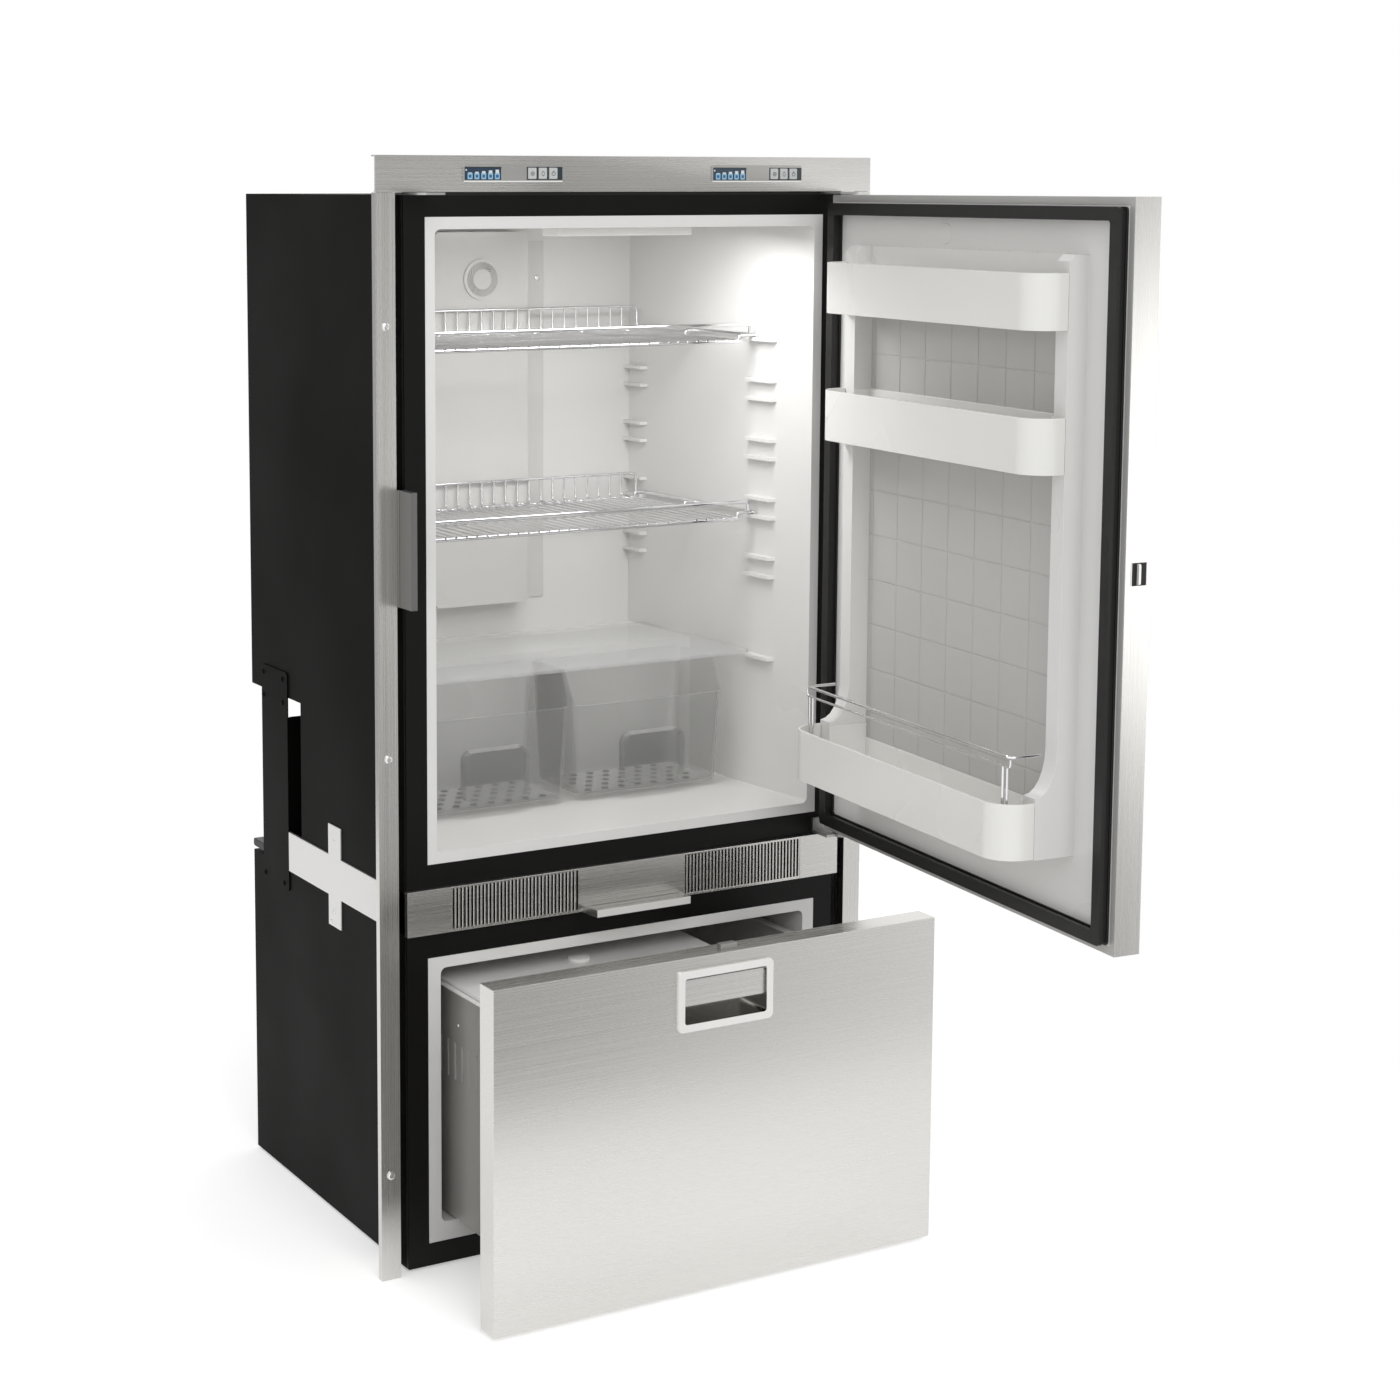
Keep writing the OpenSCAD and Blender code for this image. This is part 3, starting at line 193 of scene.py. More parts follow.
floor_half, floor_glow = 1.25, 0.42
floor_mesh = bpy.data.meshes.new("floor")
bm = bmesh.new()
bmesh.ops.create_grid(bm, x_segments=1, y_segments=1, size=floor_half,
                      matrix=Matrix.Translation((-0.1, 0.3, 0)))
bm.to_mesh(floor_mesh)
bm.free()
floor = bpy.data.objects.new("floor", floor_mesh)
scene.collection.objects.link(floor)
floor_paint, add, shader = new_finish("pale_floor")
feed(shader, Base_Color=(0.86, 0.86, 0.86, 1), Roughness=0.8, Specular_IOR_Level=0.1)
path = add("ShaderNodeLightPath").outputs
through = add("ShaderNodeMath", "MAXIMUM", path["Is Transmission Ray"], path["Is Glossy Ray"])
seen = add("ShaderNodeMath", "MAXIMUM", path["Is Camera Ray"], through)
share = add("ShaderNodeMath", "MULTIPLY", seen, floor_glow)
glow = add("ShaderNodeEmission", Color=white, Strength=share)
both = add("ShaderNodeAddShader", None, shader, glow)
feed(floor_paint.node_tree.nodes["Material Output"], Surface=both)
floor_mesh.materials.append(floor_paint)
print("floor ready")

# %% [markdown]
# Brushed steel gets its look from fine parallel scratches: they spread a highlight across
# the grain and leave it sharp along the grain. A group makes such streaks once, from noise
# stretched along one direction, and every steel finish uses it with its own direction. A
# slow cloud on top changes the shade a little, as rolled sheet does.

# %% Group for brushed streaks


def new_group(name, inputs):
    """A group that gives a colour, a roughness and a height: its tree, what it is given and
    the node that takes its results."""
    group = bpy.data.node_groups.new(name, "ShaderNodeTree")
    for label, kind, value in inputs:
        socket = group.interface.new_socket(label, in_out="INPUT", socket_type=kind)
        socket.default_value = value
    for label, kind in (("Colour", "NodeSocketColor"), ("Roughness", "NodeSocketFloat"),
                        ("Height", "NodeSocketFloat")):
        group.interface.new_socket(label, in_out="OUTPUT", socket_type=kind)
    given = group.nodes.new("NodeGroupInput").outputs
    return group, given, group.nodes.new("NodeGroupOutput")


def drifting(add, given, source, low, high):
    """The given colour times a shade that goes from 1 - Drift, at low, to 1, at high."""
    least = add("ShaderNodeMath", "SUBTRACT", 1.0, given["Drift"])
    shade = add("ShaderNodeMapRange", Value=source, From_Min=low, From_Max=high,
                To_Min=least, To_Max=1.0)
    return add("ShaderNodeVectorMath", "SCALE", given["Colour"], Scale=shade)


streaks, given, result = new_group(
    "streaks",
    [("Colour", "NodeSocketColor", (0.6, 0.6, 0.6, 1)),
     ("Stretch", "NodeSocketVector", (4, 900, 900)), ("Low", "NodeSocketFloat", 0.25),
     ("High", "NodeSocketFloat", 0.45), ("Drift", "NodeSocketFloat", 0.08)])
add = node_maker(streaks)
where = add("ShaderNodeTexCoord").outputs["Object"]
scaled = add("ShaderNodeVectorMath", "MULTIPLY", where, given["Stretch"])
fine = add("ShaderNodeTexNoise", Vector=scaled, Scale=1.0, Detail=2.0).outputs["Fac"]
spread = add("ShaderNodeMapRange", Value=fine, From_Min=0.3, From_Max=0.7,
             To_Min=given["Low"], To_Max=given["High"])
cloud = add("ShaderNodeTexNoise", Vector=where, Scale=2.5, Detail=1.0).outputs["Fac"]
mixed = add("ShaderNodeMath", "ADD", cloud, fine)
feed(result, Colour=drifting(add, given, mixed, 0.7, 1.3), Roughness=spread, Height=fine)
print("group:", streaks.name)

# %% [markdown]
# Moulded plastic and powder coat are never quite even: a fine pebble in the surface and a
# slow drift in its gloss. A second group makes both, so that no surface is one flat colour.

# %% Group for a pebbled surface
pebble, given, result = new_group(
    "pebble",
    [("Colour", "NodeSocketColor", (0.8, 0.8, 0.8, 1)), ("Size", "NodeSocketFloat", 600.0),
     ("Low", "NodeSocketFloat", 0.3), ("High", "NodeSocketFloat", 0.4),
     ("Drift", "NodeSocketFloat", 0.04)])
add = node_maker(pebble)
where = add("ShaderNodeTexCoord").outputs["Object"]
grain = add("ShaderNodeTexNoise", Vector=where, Scale=given["Size"], Detail=2.0)
cloud = add("ShaderNodeTexNoise", Vector=where, Scale=5.0, Detail=2.0).outputs["Fac"]
gloss = add("ShaderNodeMapRange", Value=cloud, From_Min=0.3, From_Max=0.7,
            To_Min=given["Low"], To_Max=given["High"])
feed(result, Colour=drifting(add, given, cloud, 0.25, 0.75), Roughness=gloss,
     Height=grain.outputs["Fac"])
print("group:", pebble.name)

# %% [markdown]
# Three kinds of finish cover the whole unit: brushed or plated metal, moulded plastic and
# paint, and clear plastic. Clear plastic is seen mostly by its edges, where one looks along
# the wall instead of through it, so it grows denser towards a grazing view.

# %% Kinds of finish


def surface_from(add, shader, tree, depth, **inputs):
    """Feeds a group's colour, its roughness and a relief of some depth to the shader."""
    group = add("ShaderNodeGroup")
    group.node_tree = tree
    made = feed(group, **inputs).outputs
    feed(shader, Base_Color=made["Colour"], Roughness=made["Roughness"])
    if depth:
        feed(shader, Normal=add("ShaderNodeBump", Strength=1.0, Distance=depth,
                                Height=made["Height"]))


def steel(name, colour, stretch, low=0.23, high=0.30, depth=0.0000016, drift=0.04):
    """Metal with streaks: its stretch is small along the grain and large across it."""
    made, add, shader = new_finish(name)
    feed(shader, Metallic=1.0)
    surface_from(add, shader, streaks, depth, Colour=(*colour, 1), Stretch=stretch, Low=low,
                 High=high, Drift=drift)
    return made


def moulded(name, colour, size=700.0, low=0.3, high=0.4, drift=0.03, depth=0.00002,
            metallic=0.0, coat=0.0, specular=0.5):
    """Plastic, paint or powder coat with a pebble of the given size."""
    made, add, shader = new_finish(name)
    feed(shader, Metallic=metallic, Coat_Weight=coat, Coat_Roughness=0.22,
         Specular_IOR_Level=specular)
    surface_from(add, shader, pebble, depth, Colour=(*colour, 1), Size=size, Low=low,
                 High=high, Drift=drift)
    return made


def clear(name, colour, low, high, roughness=0.06, wave=0.00006):
    """Clear plastic: opacity goes from low, seen straight on, to high along the wall."""
    made, add, shader = new_finish(name)
    surface_from(add, shader, pebble, wave, Colour=(*colour, 1), Size=16.0, Low=roughness,
                 High=roughness * 2)
    facing = add("ShaderNodeLayerWeight", Blend=0.5).outputs["Facing"]
    density = add("ShaderNodeMapRange", Value=facing, From_Min=0.35, From_Max=0.95,
                  To_Min=low, To_Max=high)
    feed(shader, IOR=1.49, Alpha=density)
    return made


print("kinds of finish: 3")

# %% [markdown]
# Each finish is made once. A part takes the finish of its material slot, apart from those
# named on their own: they share a slot with others and still look different in the steel,
# the gloss or the colour.

# %% Finishes
across, upright = (2.5, 2600, 2600), (2600, 2600, 2.5)
steel_colour = (0.66, 0.65, 0.625)
finishes = {
    "case": moulded("black_coat", (0.0034, 0.0032, 0.0028), size=900, low=0.46, high=0.58,
                    depth=0.00004, specular=0.05, drift=0.12),
    "frame": moulded("black_frame", (0.0045, 0.0044, 0.004), size=900, low=0.34, high=0.44,
                     specular=0.16, drift=0.12),
    "base": moulded("grey_paint", (0.08, 0.08, 0.08)),
    "foam": moulded("foam", (0.72, 0.64, 0.42), size=300, low=0.7, high=0.9, depth=0.0003),
    "liner": moulded("white_liner", (0.77, 0.765, 0.75), size=500, low=0.26, high=0.36,
                     coat=0.15),
    # A darker white for the door liner's tile panel: painted shade between the bins.
    "shade": moulded("painted_shade_liner", (0.52, 0.515, 0.50), size=500, low=0.36, high=0.46),
    "fold": moulded("satin_fold", (0.52, 0.515, 0.50), low=0.34, high=0.44, metallic=0.3),
    "cover": moulded("glossy_cover", (0.66, 0.65, 0.63), size=300, low=0.10, high=0.16,
                     depth=0.00001),
    "steel_x": steel("steel_grain_across", steel_colour, across),
    "steel_z": steel("steel_grain_up", steel_colour, upright),
    "zinc": steel("satin_plate", (0.44, 0.44, 0.43), (500, 500, 500), low=0.34, high=0.42),
    # A dark plate for the door catch: painted shade of its side that faces away from the light.
    "painted_shade_plate": steel("painted_shade_plate", (0.19, 0.19, 0.185), (500, 500, 500), low=0.34,
                        high=0.42),
    "inner_steel": moulded("grey_sheet", (0.48, 0.47, 0.45), size=900, low=0.3, high=0.4,
                           metallic=0.5),
    "white_paint": moulded("white_paint", (0.90, 0.89, 0.87), low=0.3, high=0.42),
    "panel": moulded("silver_panel", (0.46, 0.455, 0.44), low=0.28, high=0.36, metallic=0.7),
    "bezel": moulded("satin_bezel", (0.86, 0.85, 0.83), low=0.24, high=0.32, metallic=0.25),
    # Darker chrome as painted shade for the inside of the hand recess.
    "recess": steel("chrome_painted_shade", (0.30, 0.295, 0.28), (300, 300, 300), low=0.10, high=0.18),
    "paddle": steel("satin_paddle", (0.72, 0.71, 0.69), across, low=0.22, high=0.30),
    "button": moulded("button_grey", (0.55, 0.56, 0.56), low=0.3, high=0.4),
    "slate": moulded("dark_slate", (0.025, 0.040, 0.045), low=0.12, high=0.18, coat=0.4),
    "mark": moulded("grey_mark", (0.12, 0.125, 0.13), low=0.3, high=0.4),
    "window": moulded("display_blue", (0.020, 0.045, 0.085), low=0.06, high=0.12, coat=0.6),
    "segment": moulded("display_light", (0.28, 0.50, 0.66), low=0.2, high=0.3),
    "pale": moulded("display_pale", (0.70, 0.74, 0.75), low=0.2, high=0.3),
    "deep_blue": moulded("display_deep", (0.030, 0.13, 0.32), low=0.2, high=0.3),
    "lamp": moulded("milky_lamp", (0.88, 0.88, 0.86), low=0.2, high=0.3),
    "gasket": moulded("black_seal", (0.009, 0.009, 0.0085), size=400, low=0.36, high=0.48,
                      specular=0.35),
    "fins": steel("fin_aluminium", (0.66, 0.67, 0.68), (200, 200, 200), low=0.3, high=0.5),
    "enamel": moulded("black_enamel", (0.010, 0.010, 0.011), low=0.14, high=0.24, coat=0.4),
    "fan": moulded("fan_plastic", (0.02, 0.02, 0.02), low=0.4, high=0.55),
    "chrome": steel("chromed_wire", (0.80, 0.80, 0.81), (60, 60, 60), low=0.08, high=0.16,
                    depth=0.0),
    "screw": steel("screw_steel", (0.78, 0.78, 0.77), (400, 400, 400), low=0.2, high=0.3),
    "copper": steel("copper_tube", (0.72, 0.36, 0.22), (300, 300, 300), low=0.2, high=0.34),
    "clear": clear("clear_plastic", (0.60, 0.60, 0.585), 0.09, 0.80),
    "sheet": clear("clear_sheet", (0.74, 0.745, 0.74), 0.10, 0.46),
    # The dimples' darker, denser clear plastic is painted shade.
    "dimple": clear("dimple_painted_shade", (0.26, 0.26, 0.25), 0.50, 0.9),
    "bin": moulded("bin_white", (0.83, 0.825, 0.80), size=500, low=0.2, high=0.3, coat=0.2),
}
finish_of = {
    "case_black": "case", "base_grey": "base", "foam": "foam", "liner_white": "liner",
    "stainless": "steel_x", "zinc_steel": "zinc", "satin_plastic": "panel",
    "display_glass": "window", "lamp_white": "lamp", "gasket_black": "gasket",
    "fin_aluminium": "fins", "compressor_black": "enamel", "fan_black": "fan",
    "chrome_wire": "chrome", "clear_plastic": "clear", "bin_white": "bin",
}
special = {
    "front_frames": "frame", "flange_stiles": "steel_z", "door_skin": "steel_z",
    "gap_covers": "white_paint", "drawer_box": "inner_steel", "evaporator_cover": "cover",
    "door_bezel": "bezel", "drawer_bezel": "bezel", "door_paddle": "paddle",
    "drawer_paddle": "paddle", "bracket_plates": "case", "clear_shelf": "sheet",
    # The catches take the dark plate as painted shade.
    "catches": "painted_shade_plate",
}
buttons = ["button_%s_%d" % (side, i) for side in ("left", "right") for i in (1, 2, 3)]
special.update(dict.fromkeys(buttons, "button"))
for name, part in frame["nodes"].items():
    finish = finishes[special.get(name, finish_of[slot_of[name]])]
    part.data.materials.clear()
    part.data.materials.append(finish)
print("finishes:", len(finishes))

# %% [markdown]
# Real sheet metal and mouldings have no razor edges: every fold and corner is a small radius
# that catches the light. The construction has sharp corners, so each part that shows gets a
# copy whose loose triangles are joined up, whose flat faces are merged, and whose sharp
# edges are bevelled by a fraction of the sheet's thickness.

# %% Softened copies


def finish_mesh(bm, name, finish, sharp=35):
    """Turns a bmesh into a shaded mesh object with its flat faces kept flat."""
    for face in bm.faces:
        face.smooth = True
    limit = math.radians(sharp)
    for edge in bm.edges:
        edge.smooth = len(edge.link_faces) != 2 or edge.calc_face_angle(0) < limit
    mesh = bpy.data.meshes.new(name)
    bm.to_mesh(mesh)
    bm.free()
    mesh.materials.append(finish)
    made = bpy.data.objects.new(name, mesh)
    scene.collection.objects.link(made)
    weighted = made.modifiers.new("flat faces", "WEIGHTED_NORMAL")
    weighted.keep_sharp = True
    return made


def place(made, node, *replaced):
    """Puts a new piece on the body of a node, and hides the nodes it stands for."""
    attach(made, frame["nodes"][node]["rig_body"])
    if replaced:
        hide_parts(*replaced)
    return made


def bevelled(bm, edges, offset, segments):
    """Rounds the given edges."""
    bmesh.ops.bevel(bm, geom=edges, offset=offset, segments=segments, offset_type="OFFSET",
                    profile=0.5, affect="EDGES", clamp_overlap=True, material=-1)


def folds(bm, angle):
    """The edges between two faces that meet at more than an angle in degrees."""
    return [e for e in bm.edges
            if len(e.link_faces) == 2 and e.calc_face_angle(0) > math.radians(angle)]


def softened(node, width, rounds=(), merged=True):
    """A bevelled copy of a construction part. Each of rounds is a wider radius, and a test
    that says which edges get it. A thin rim round a large opening isn't merged."""
    bm = bmesh.new()
    bm.from_mesh(frame["nodes"][node].data)
    bmesh.ops.remove_doubles(bm, verts=bm.verts, dist=0.000002)
    if merged:
        bmesh.ops.dissolve_limit(bm, angle_limit=math.radians(0.6), verts=bm.verts,
                                 edges=bm.edges)
    for radius, test in rounds:
        bevelled(bm, [e for e in folds(bm, 60) if test(*[v.co for v in e.verts])], radius * mm, 5)
    bevelled(bm, folds(bm, 28), width * mm, 2)
    made = finish_mesh(bm, node + "_soft", frame["nodes"][node].data.materials[0])
    return place(made, node, node)


edge_widths = {
    "flange_stiles": 0.4, "flange_top": 0.4, "front_frames": 0.8, "lower_liner": 1.0,
    "catches": 0.6, "control_panels": 0.3, "gap_covers": 0.3,
    "bracket_plates": 0.3, "upper_case": 0.5, "lower_case": 0.5, "ceiling_lamp": 1.0,
    "door_skin": 0.5, "door_liner": 1.2, "door_gasket": 0.8, "bin_top": 0.7,
    "bin_middle": 0.7, "bin_bottom": 0.7, "door_paddle": 0.6,
    "drawer_skin": 0.5, "drawer_core": 0.8, "drawer_gasket": 0.8, "drawer_box": 0.25,
    "drawer_paddle": 0.6, "drawer_latch": 0.4, "freezer_cover": 0.8, "clear_shelf": 1.2,
    "hinge_brackets": 0.3, "upper_liner": 1.0, "display_windows": 0.2, "door_bezel": 0.8,
    "drawer_bezel": 0.8, "base_plate": 0.5, "machine_tray": 0.4,
}
edge_widths.update(dict.fromkeys(buttons, 0.8))
thin_rims = ("upper_case", "lower_case")
soft = {name: softened(name, width, merged=name not in thin_rims)
        for name, width in edge_widths.items()}
print("softened parts:", len(soft))

# %% [markdown]
# The cold-air cover is a pressed panel. Its front corners are rounder than its other edges,
# and the right-hand one shows as a bright upright line. Both are rounds of 4 mm, cut before
# the fine softening, which has to stay small here so that the swirl slots stay open.

# %% Cold-air cover
cover_front, cover_sides, cover_round = 128.6 * mm, (-67 * mm, 57 * mm), 4.0
touching = 0.02 * mm


def cover_corner(a, b):
    """True for the two long upright edges at the front of the cover."""
    upright_edge = abs(a.z - b.z) > 0.3
    at_front = max(abs(a.y - cover_front), abs(b.y - cover_front)) < touching
    return upright_edge and at_front and min(abs(a.x - x) for x in cover_sides) < touching


soft["evaporator_cover"] = softened("evaporator_cover", 0.2, [(cover_round, cover_corner)])
print("cover faces:", len(soft["evaporator_cover"].data.polygons))

# %% [markdown]
# The hand recess behind each handle is bright outside, and inside it is painted darker
# chrome as its shade. It is one moulding, so the copy keeps its shape, and only the faces
# that lie deeper than 2 mm behind the panel get the second finish, a painted shade.

# %% Recess finish
hinge, door_angle, drawer_out = Vector((262, -237.2, 0)) * mm, 85, 151.8
swing = Matrix.Translation(hinge) @ Matrix.Rotation(math.radians(door_angle), 4, "Z") \
    @ Matrix.Translation(-hinge)
to_closed = swing.inverted()
drawer_in = Matrix.Translation((0, drawer_out * mm, 0))
recess_start = -248.2 * mm + 2 * mm


def repaint(made, finish, test):
    """Gives the faces that the test picks another finish, and counts them."""
    made.data.materials.append(finishes[finish])
    picked = [face for face in made.data.polygons if test(face)]
    for face in picked:
        face.material_index = len(made.data.materials) - 1
    return len(picked)


for part, shut in (("door_bezel", to_closed), ("drawer_bezel", drawer_in)):
    print(part, "recess faces:", repaint(soft[part], "recess",
                                         lambda f: (shut @ f.center).y > recess_start))

# %% [markdown]
# Small shapes need a few helpers. Sizes are written in millimetres, as on a drawing, and
# turned into metres when the piece is finished. A slab is a box with some edges rounded, a
# turned shape is a profile spun round an axis as on a lathe, and a wire is a ring pulled
# along a line and turned a little at each bend.

# %% Helpers for small shapes


def join(bm, part):
    """Adds one bmesh to another."""
    mesh = bpy.data.meshes.new("part")
    part.to_mesh(mesh)
    part.free()
    bm.from_mesh(mesh)
    bpy.data.meshes.remove(mesh)


def box(part, size, middle):
    """A plain box round its middle."""
    bmesh.ops.create_cube(part, size=1, matrix=Matrix.Translation(middle)
                          @ Matrix.Diagonal((*size, 1)))


def slab(bm, low, high, corner=0.0, along="Y", soften=0.0, segments=4):
    """A box from low to high. The four edges along one axis get a corner radius, and the
    others are softened."""
    part = bmesh.new()
    size = [b - a for a, b in zip(low, high)]
    box(part, size, [(a + b) / 2 for a, b in zip(low, high)])
    axis = "XYZ".index(along)
    if corner:
        edges = [e for e in part.edges
                 if abs(e.verts[0].co[axis] - e.verts[1].co[axis]) > size[axis] / 2]
        bevelled(part, edges, corner, segments)
    if soften:
        bevelled(part, folds(part, 60), soften, 2)
    join(bm, part)


def slab_pair(bm, near, far, low, high, *how, **more):
    """The same slab on both sides, from near to far off the middle. low and high are (y, z)."""
    for s in (-1, 1):
        left, right = sorted((s * near, s * far))
        slab(bm, (left, *low), (right, *high), *how, **more)


def spun(part, profile, steps):
    """Spins a profile of (radius, height) points round Z."""
    points = [part.verts.new((radius, 0, height)) for radius, height in profile]
    edges = [part.edges.new(pair) for pair in zip(points, points[1:])]
    bmesh.ops.spin(part, geom=points + edges, cent=(0, 0, 0), axis=(0, 0, 1),
                   angle=2 * math.pi, steps=steps, use_merge=True)


def put(bm, part, centre, axis):
    """Turns a shape that stands on the origin to an axis, and adds it to bm at centre."""
    turn = Vector((0, 0, 1)).rotation_difference(Vector(axis)).to_matrix().to_4x4()
    bmesh.ops.transform(part, matrix=Matrix.Translation(centre) @ turn, verts=part.verts)
    join(bm, part)


def turned(bm, profile, centre, axis, steps):
    """A profile of (radius, height) points turned round an axis through centre."""
    part = bmesh.new()
    spun(part, profile, steps)
    bmesh.ops.remove_doubles(part, verts=part.verts, dist=0.0005)
    bmesh.ops.recalc_face_normals(part, faces=part.faces)
    put(bm, part, centre, axis)


def rounded(points, radius, steps=4):
    """The same line with each inner corner replaced by a bend."""
    points = [Vector(p) for p in points]
    line = [points[0]]
    for before, corner, after in zip(points, points[1:], points[2:]):
        start = corner + (before - corner).normalized() * radius
        end = corner + (after - corner).normalized() * radius
        for i in range(steps + 1):
            share = i / steps
            line.append(start.lerp(corner, share).lerp(corner.lerp(end, share), share))
    return line + [points[-1]]


def wire(bm, points, diameter, sides=10):
    """A round wire along a line of points, closed at both ends."""
    points = [Vector(p) for p in points]
    runs = [(b - a).normalized() for a, b in zip(points, points[1:])]
    heads = [runs[0]] + [(a + b).normalized() for a, b in zip(runs, runs[1:])] + [runs[-1]]
    turn = Vector((0, 0, 1)).rotation_difference(heads[0]).to_matrix().to_4x4()
    part = bmesh.new()
    bmesh.ops.create_circle(part, cap_ends=True, segments=sides, radius=diameter / 2,
                            matrix=Matrix.Translation(points[0]) @ turn)
    ring = list(part.edges)
    for here, there, head, next_head in zip(points, points[1:], heads, heads[1:]):
        pulled = bmesh.ops.extrude_edge_only(part, edges=ring)["geom"]
        moved = [g for g in pulled if isinstance(g, bmesh.types.BMVert)]
        ring = [g for g in pulled if isinstance(g, bmesh.types.BMEdge)
                and all(v in moved for v in g.verts)]
        bend = head.rotation_difference(next_head).to_matrix()
        bmesh.ops.rotate(part, verts=moved, cent=here, matrix=bend)
        bmesh.ops.translate(part, verts=moved, vec=there - here)
    bmesh.ops.contextual_create(part, geom=ring)
    bmesh.ops.recalc_face_normals(part, faces=part.faces)
    join(bm, part)


def piece(bm, name, node, finish, replaced=(), sharp=35, turn=None):
    """Finishes a shape drawn in millimetres and puts it on the body of a node."""
    bmesh.ops.scale(bm, vec=(mm, mm, mm), verts=bm.verts)
    if turn:
        bmesh.ops.transform(bm, matrix=turn, verts=bm.verts)
    made = finish_mesh(bm, name, finishes[finish], sharp)
    return place(made, node, *replaced)


def slab_piece(name, node, finish, *slabs, replaced=(), turn=None):
    """One piece of slabs. Each of them is a list of the values for slab."""
    bm = bmesh.new()
    for values in slabs:
        slab(bm, *values)
    return piece(bm, name, node, finish, replaced, turn=turn)


print("helpers ready")

# %% [markdown]
# The shelves are welded from chromed wire: three thick rails across, thin wires from front
# to back, and a side rail that slides between the ribs of the liner. The guard is a bar along
# the front, bent down at its ends, and a fence at the rear whose posts bend forward on to the
# shelf. Round bends are what tells real wire from straight sticks, so each wire follows a
# line with its corners rounded.

# %% Wire shelves
shelf_front, shelf_back = -105.2, 123.8
shelf_half, bar_half = 205.6, 218.5
rail_d, strut_d, fence_d, wire_d = 4.6, 3.7, 3.4, 2.4
rail_drop, guard_rise, fence_rise = 7, 12.2, 31
liner_near, liner_depth, wall_near, wall_taper = -207, 365.6, 234.8, 18.8


def wall_x(y):
    """The inner face of the side wall, which narrows towards the back."""
    return wall_near - wall_taper * (y - liner_near) / liner_depth


def centred(count, pitch):
    """Places of a row with its middle at 0."""
    return [(i - (count - 1) / 2) * pitch for i in range(count)]


def shelf_wires(bm, side):
    """Three rails, their struts to the side rails, and the wires that lie on them."""
    low = side - rail_drop
    for y in (shelf_front, (shelf_front + shelf_back) / 2, shelf_back):
        wire(bm, [(-shelf_half, y, low), (shelf_half, y, low)], rail_d)
        for s in (-1, 1):
            wire(bm, rounded([(s * (shelf_half - 2), y, low), (s * (shelf_half - 2), y, side),
                              (s * (wall_x(y) - 3.8), y, side)], 3), strut_d, 8)
    for s in (-1, 1):
        wire(bm, [(s * (wall_x(shelf_front) - 3.8), shelf_front - 3, side),
                  (s * (wall_x(shelf_back) - 3.8), shelf_back, side)], rail_d)
    for x in centred(32, 12.8):
        wire(bm, [(x, shelf_front - 2.3, low + rail_d / 2),
                  (x, shelf_back - 1.4, low + rail_d / 2)], wire_d, 8)


def guard_wires(bm, side):
    """The bar along the front, and the fence at the rear with its posts."""
    low, top = side - rail_drop, side + guard_rise
    wire(bm, rounded([(-bar_half, shelf_front, side + 1.8), (-bar_half, shelf_front, top),
                      (bar_half, shelf_front, top), (bar_half, shelf_front, side + 1.8)], 5),
         rail_d)
    fence_top = low + fence_rise
    wire(bm, rounded([(-shelf_half, shelf_back, low + 2.3), (-shelf_half, shelf_back, fence_top),
                      (shelf_half, shelf_back, fence_top), (shelf_half, shelf_back, low + 2.3)],
                     7), fence_d)
    for x in centred(24, 16):
        wire(bm, rounded([(x, shelf_back - 13, low + 3.4), (x, shelf_back, low + 3.4),
                          (x, shelf_back, fence_top)], 5), wire_d, 8)


for level, rib_top in (("upper", 978), ("lower", 774)):
    for name, node, draw in ((level + "_shelf_wires", "wire_shelf_" + level, shelf_wires),
                             (level + "_guard_wires", "shelf_guard_" + level, guard_wires)):
        bm = bmesh.new()
        draw(bm, rib_top + rail_d / 2 + 0.3)
        made = piece(bm, name, node, "chrome", [node], sharp=60)
        print(made.name, "faces:", len(made.data.polygons))

# %% [markdown]
# The rail that keeps bottles in the door is one thin chromed wire bent round the bin, with a
# second wire under it at the front. It is drawn with the door closed and then swung open
# with it.

# %% Bottle rail
door_back = -219.2
rail_x, rail_y, rail_z, rail_end = 193.0, door_back + 68, 610.0, -185.2
under_z, post_foot, thin_d = rail_z - 10, 516, 2.6
bm = bmesh.new()
wire(bm, rounded([(-rail_x, rail_end, rail_z), (-rail_x, rail_y, rail_z),
                  (rail_x, rail_y, rail_z), (rail_x, rail_end, rail_z)], 7), fence_d)
wire(bm, rounded([(-rail_x, rail_y, rail_z - 2), (-rail_x, rail_y, under_z),
                  (rail_x, rail_y, under_z), (rail_x, rail_y, rail_z - 2)], 4), thin_d)
for s in (-1, 1):
    for inwards, diameter in ((12, fence_d), (5, thin_d)):
        x = s * (rail_x - inwards)
        wire(bm, [(x, rail_y, under_z), (x, rail_y, post_foot)], diameter)
piece(bm, "bottle_wires", "bottle_rail", "chrome", ["bottle_rail"], sharp=60, turn=swing)
print("bottle rail ready")

# %% [markdown]
# Each crisper is a thin clear bin, drafted so that it leaves its mould, with its front cut
# down, its corners rounded and dimples in its floor. A box is drawn in at its lower end and
# bevelled at its corners, a slanted plane cuts it, its top is opened, and the skin gets its
# wall last. The pull is a small pocket of the same wall on the front.

# %% Crispers
crisper_w, crisper_low, crisper_top = 202.05, 460.0, 603.0
crisper_near, crisper_far = -83.2, 21.5
crisper_wall, front_drop, slant_start, slant_end = 2.2, 38, 26, 6
crisper_mid = 1 + crisper_w / 2


def open_shell(part, wall, opened):
    """Removes the faces that opened picks and gives the rest a wall inwards."""
    bmesh.ops.delete(part, geom=[f for f in part.faces if opened(f)], context="FACES")
    bmesh.ops.recalc_face_normals(part, faces=part.faces)
    bmesh.ops.solidify(part, geom=part.faces, thickness=wall)


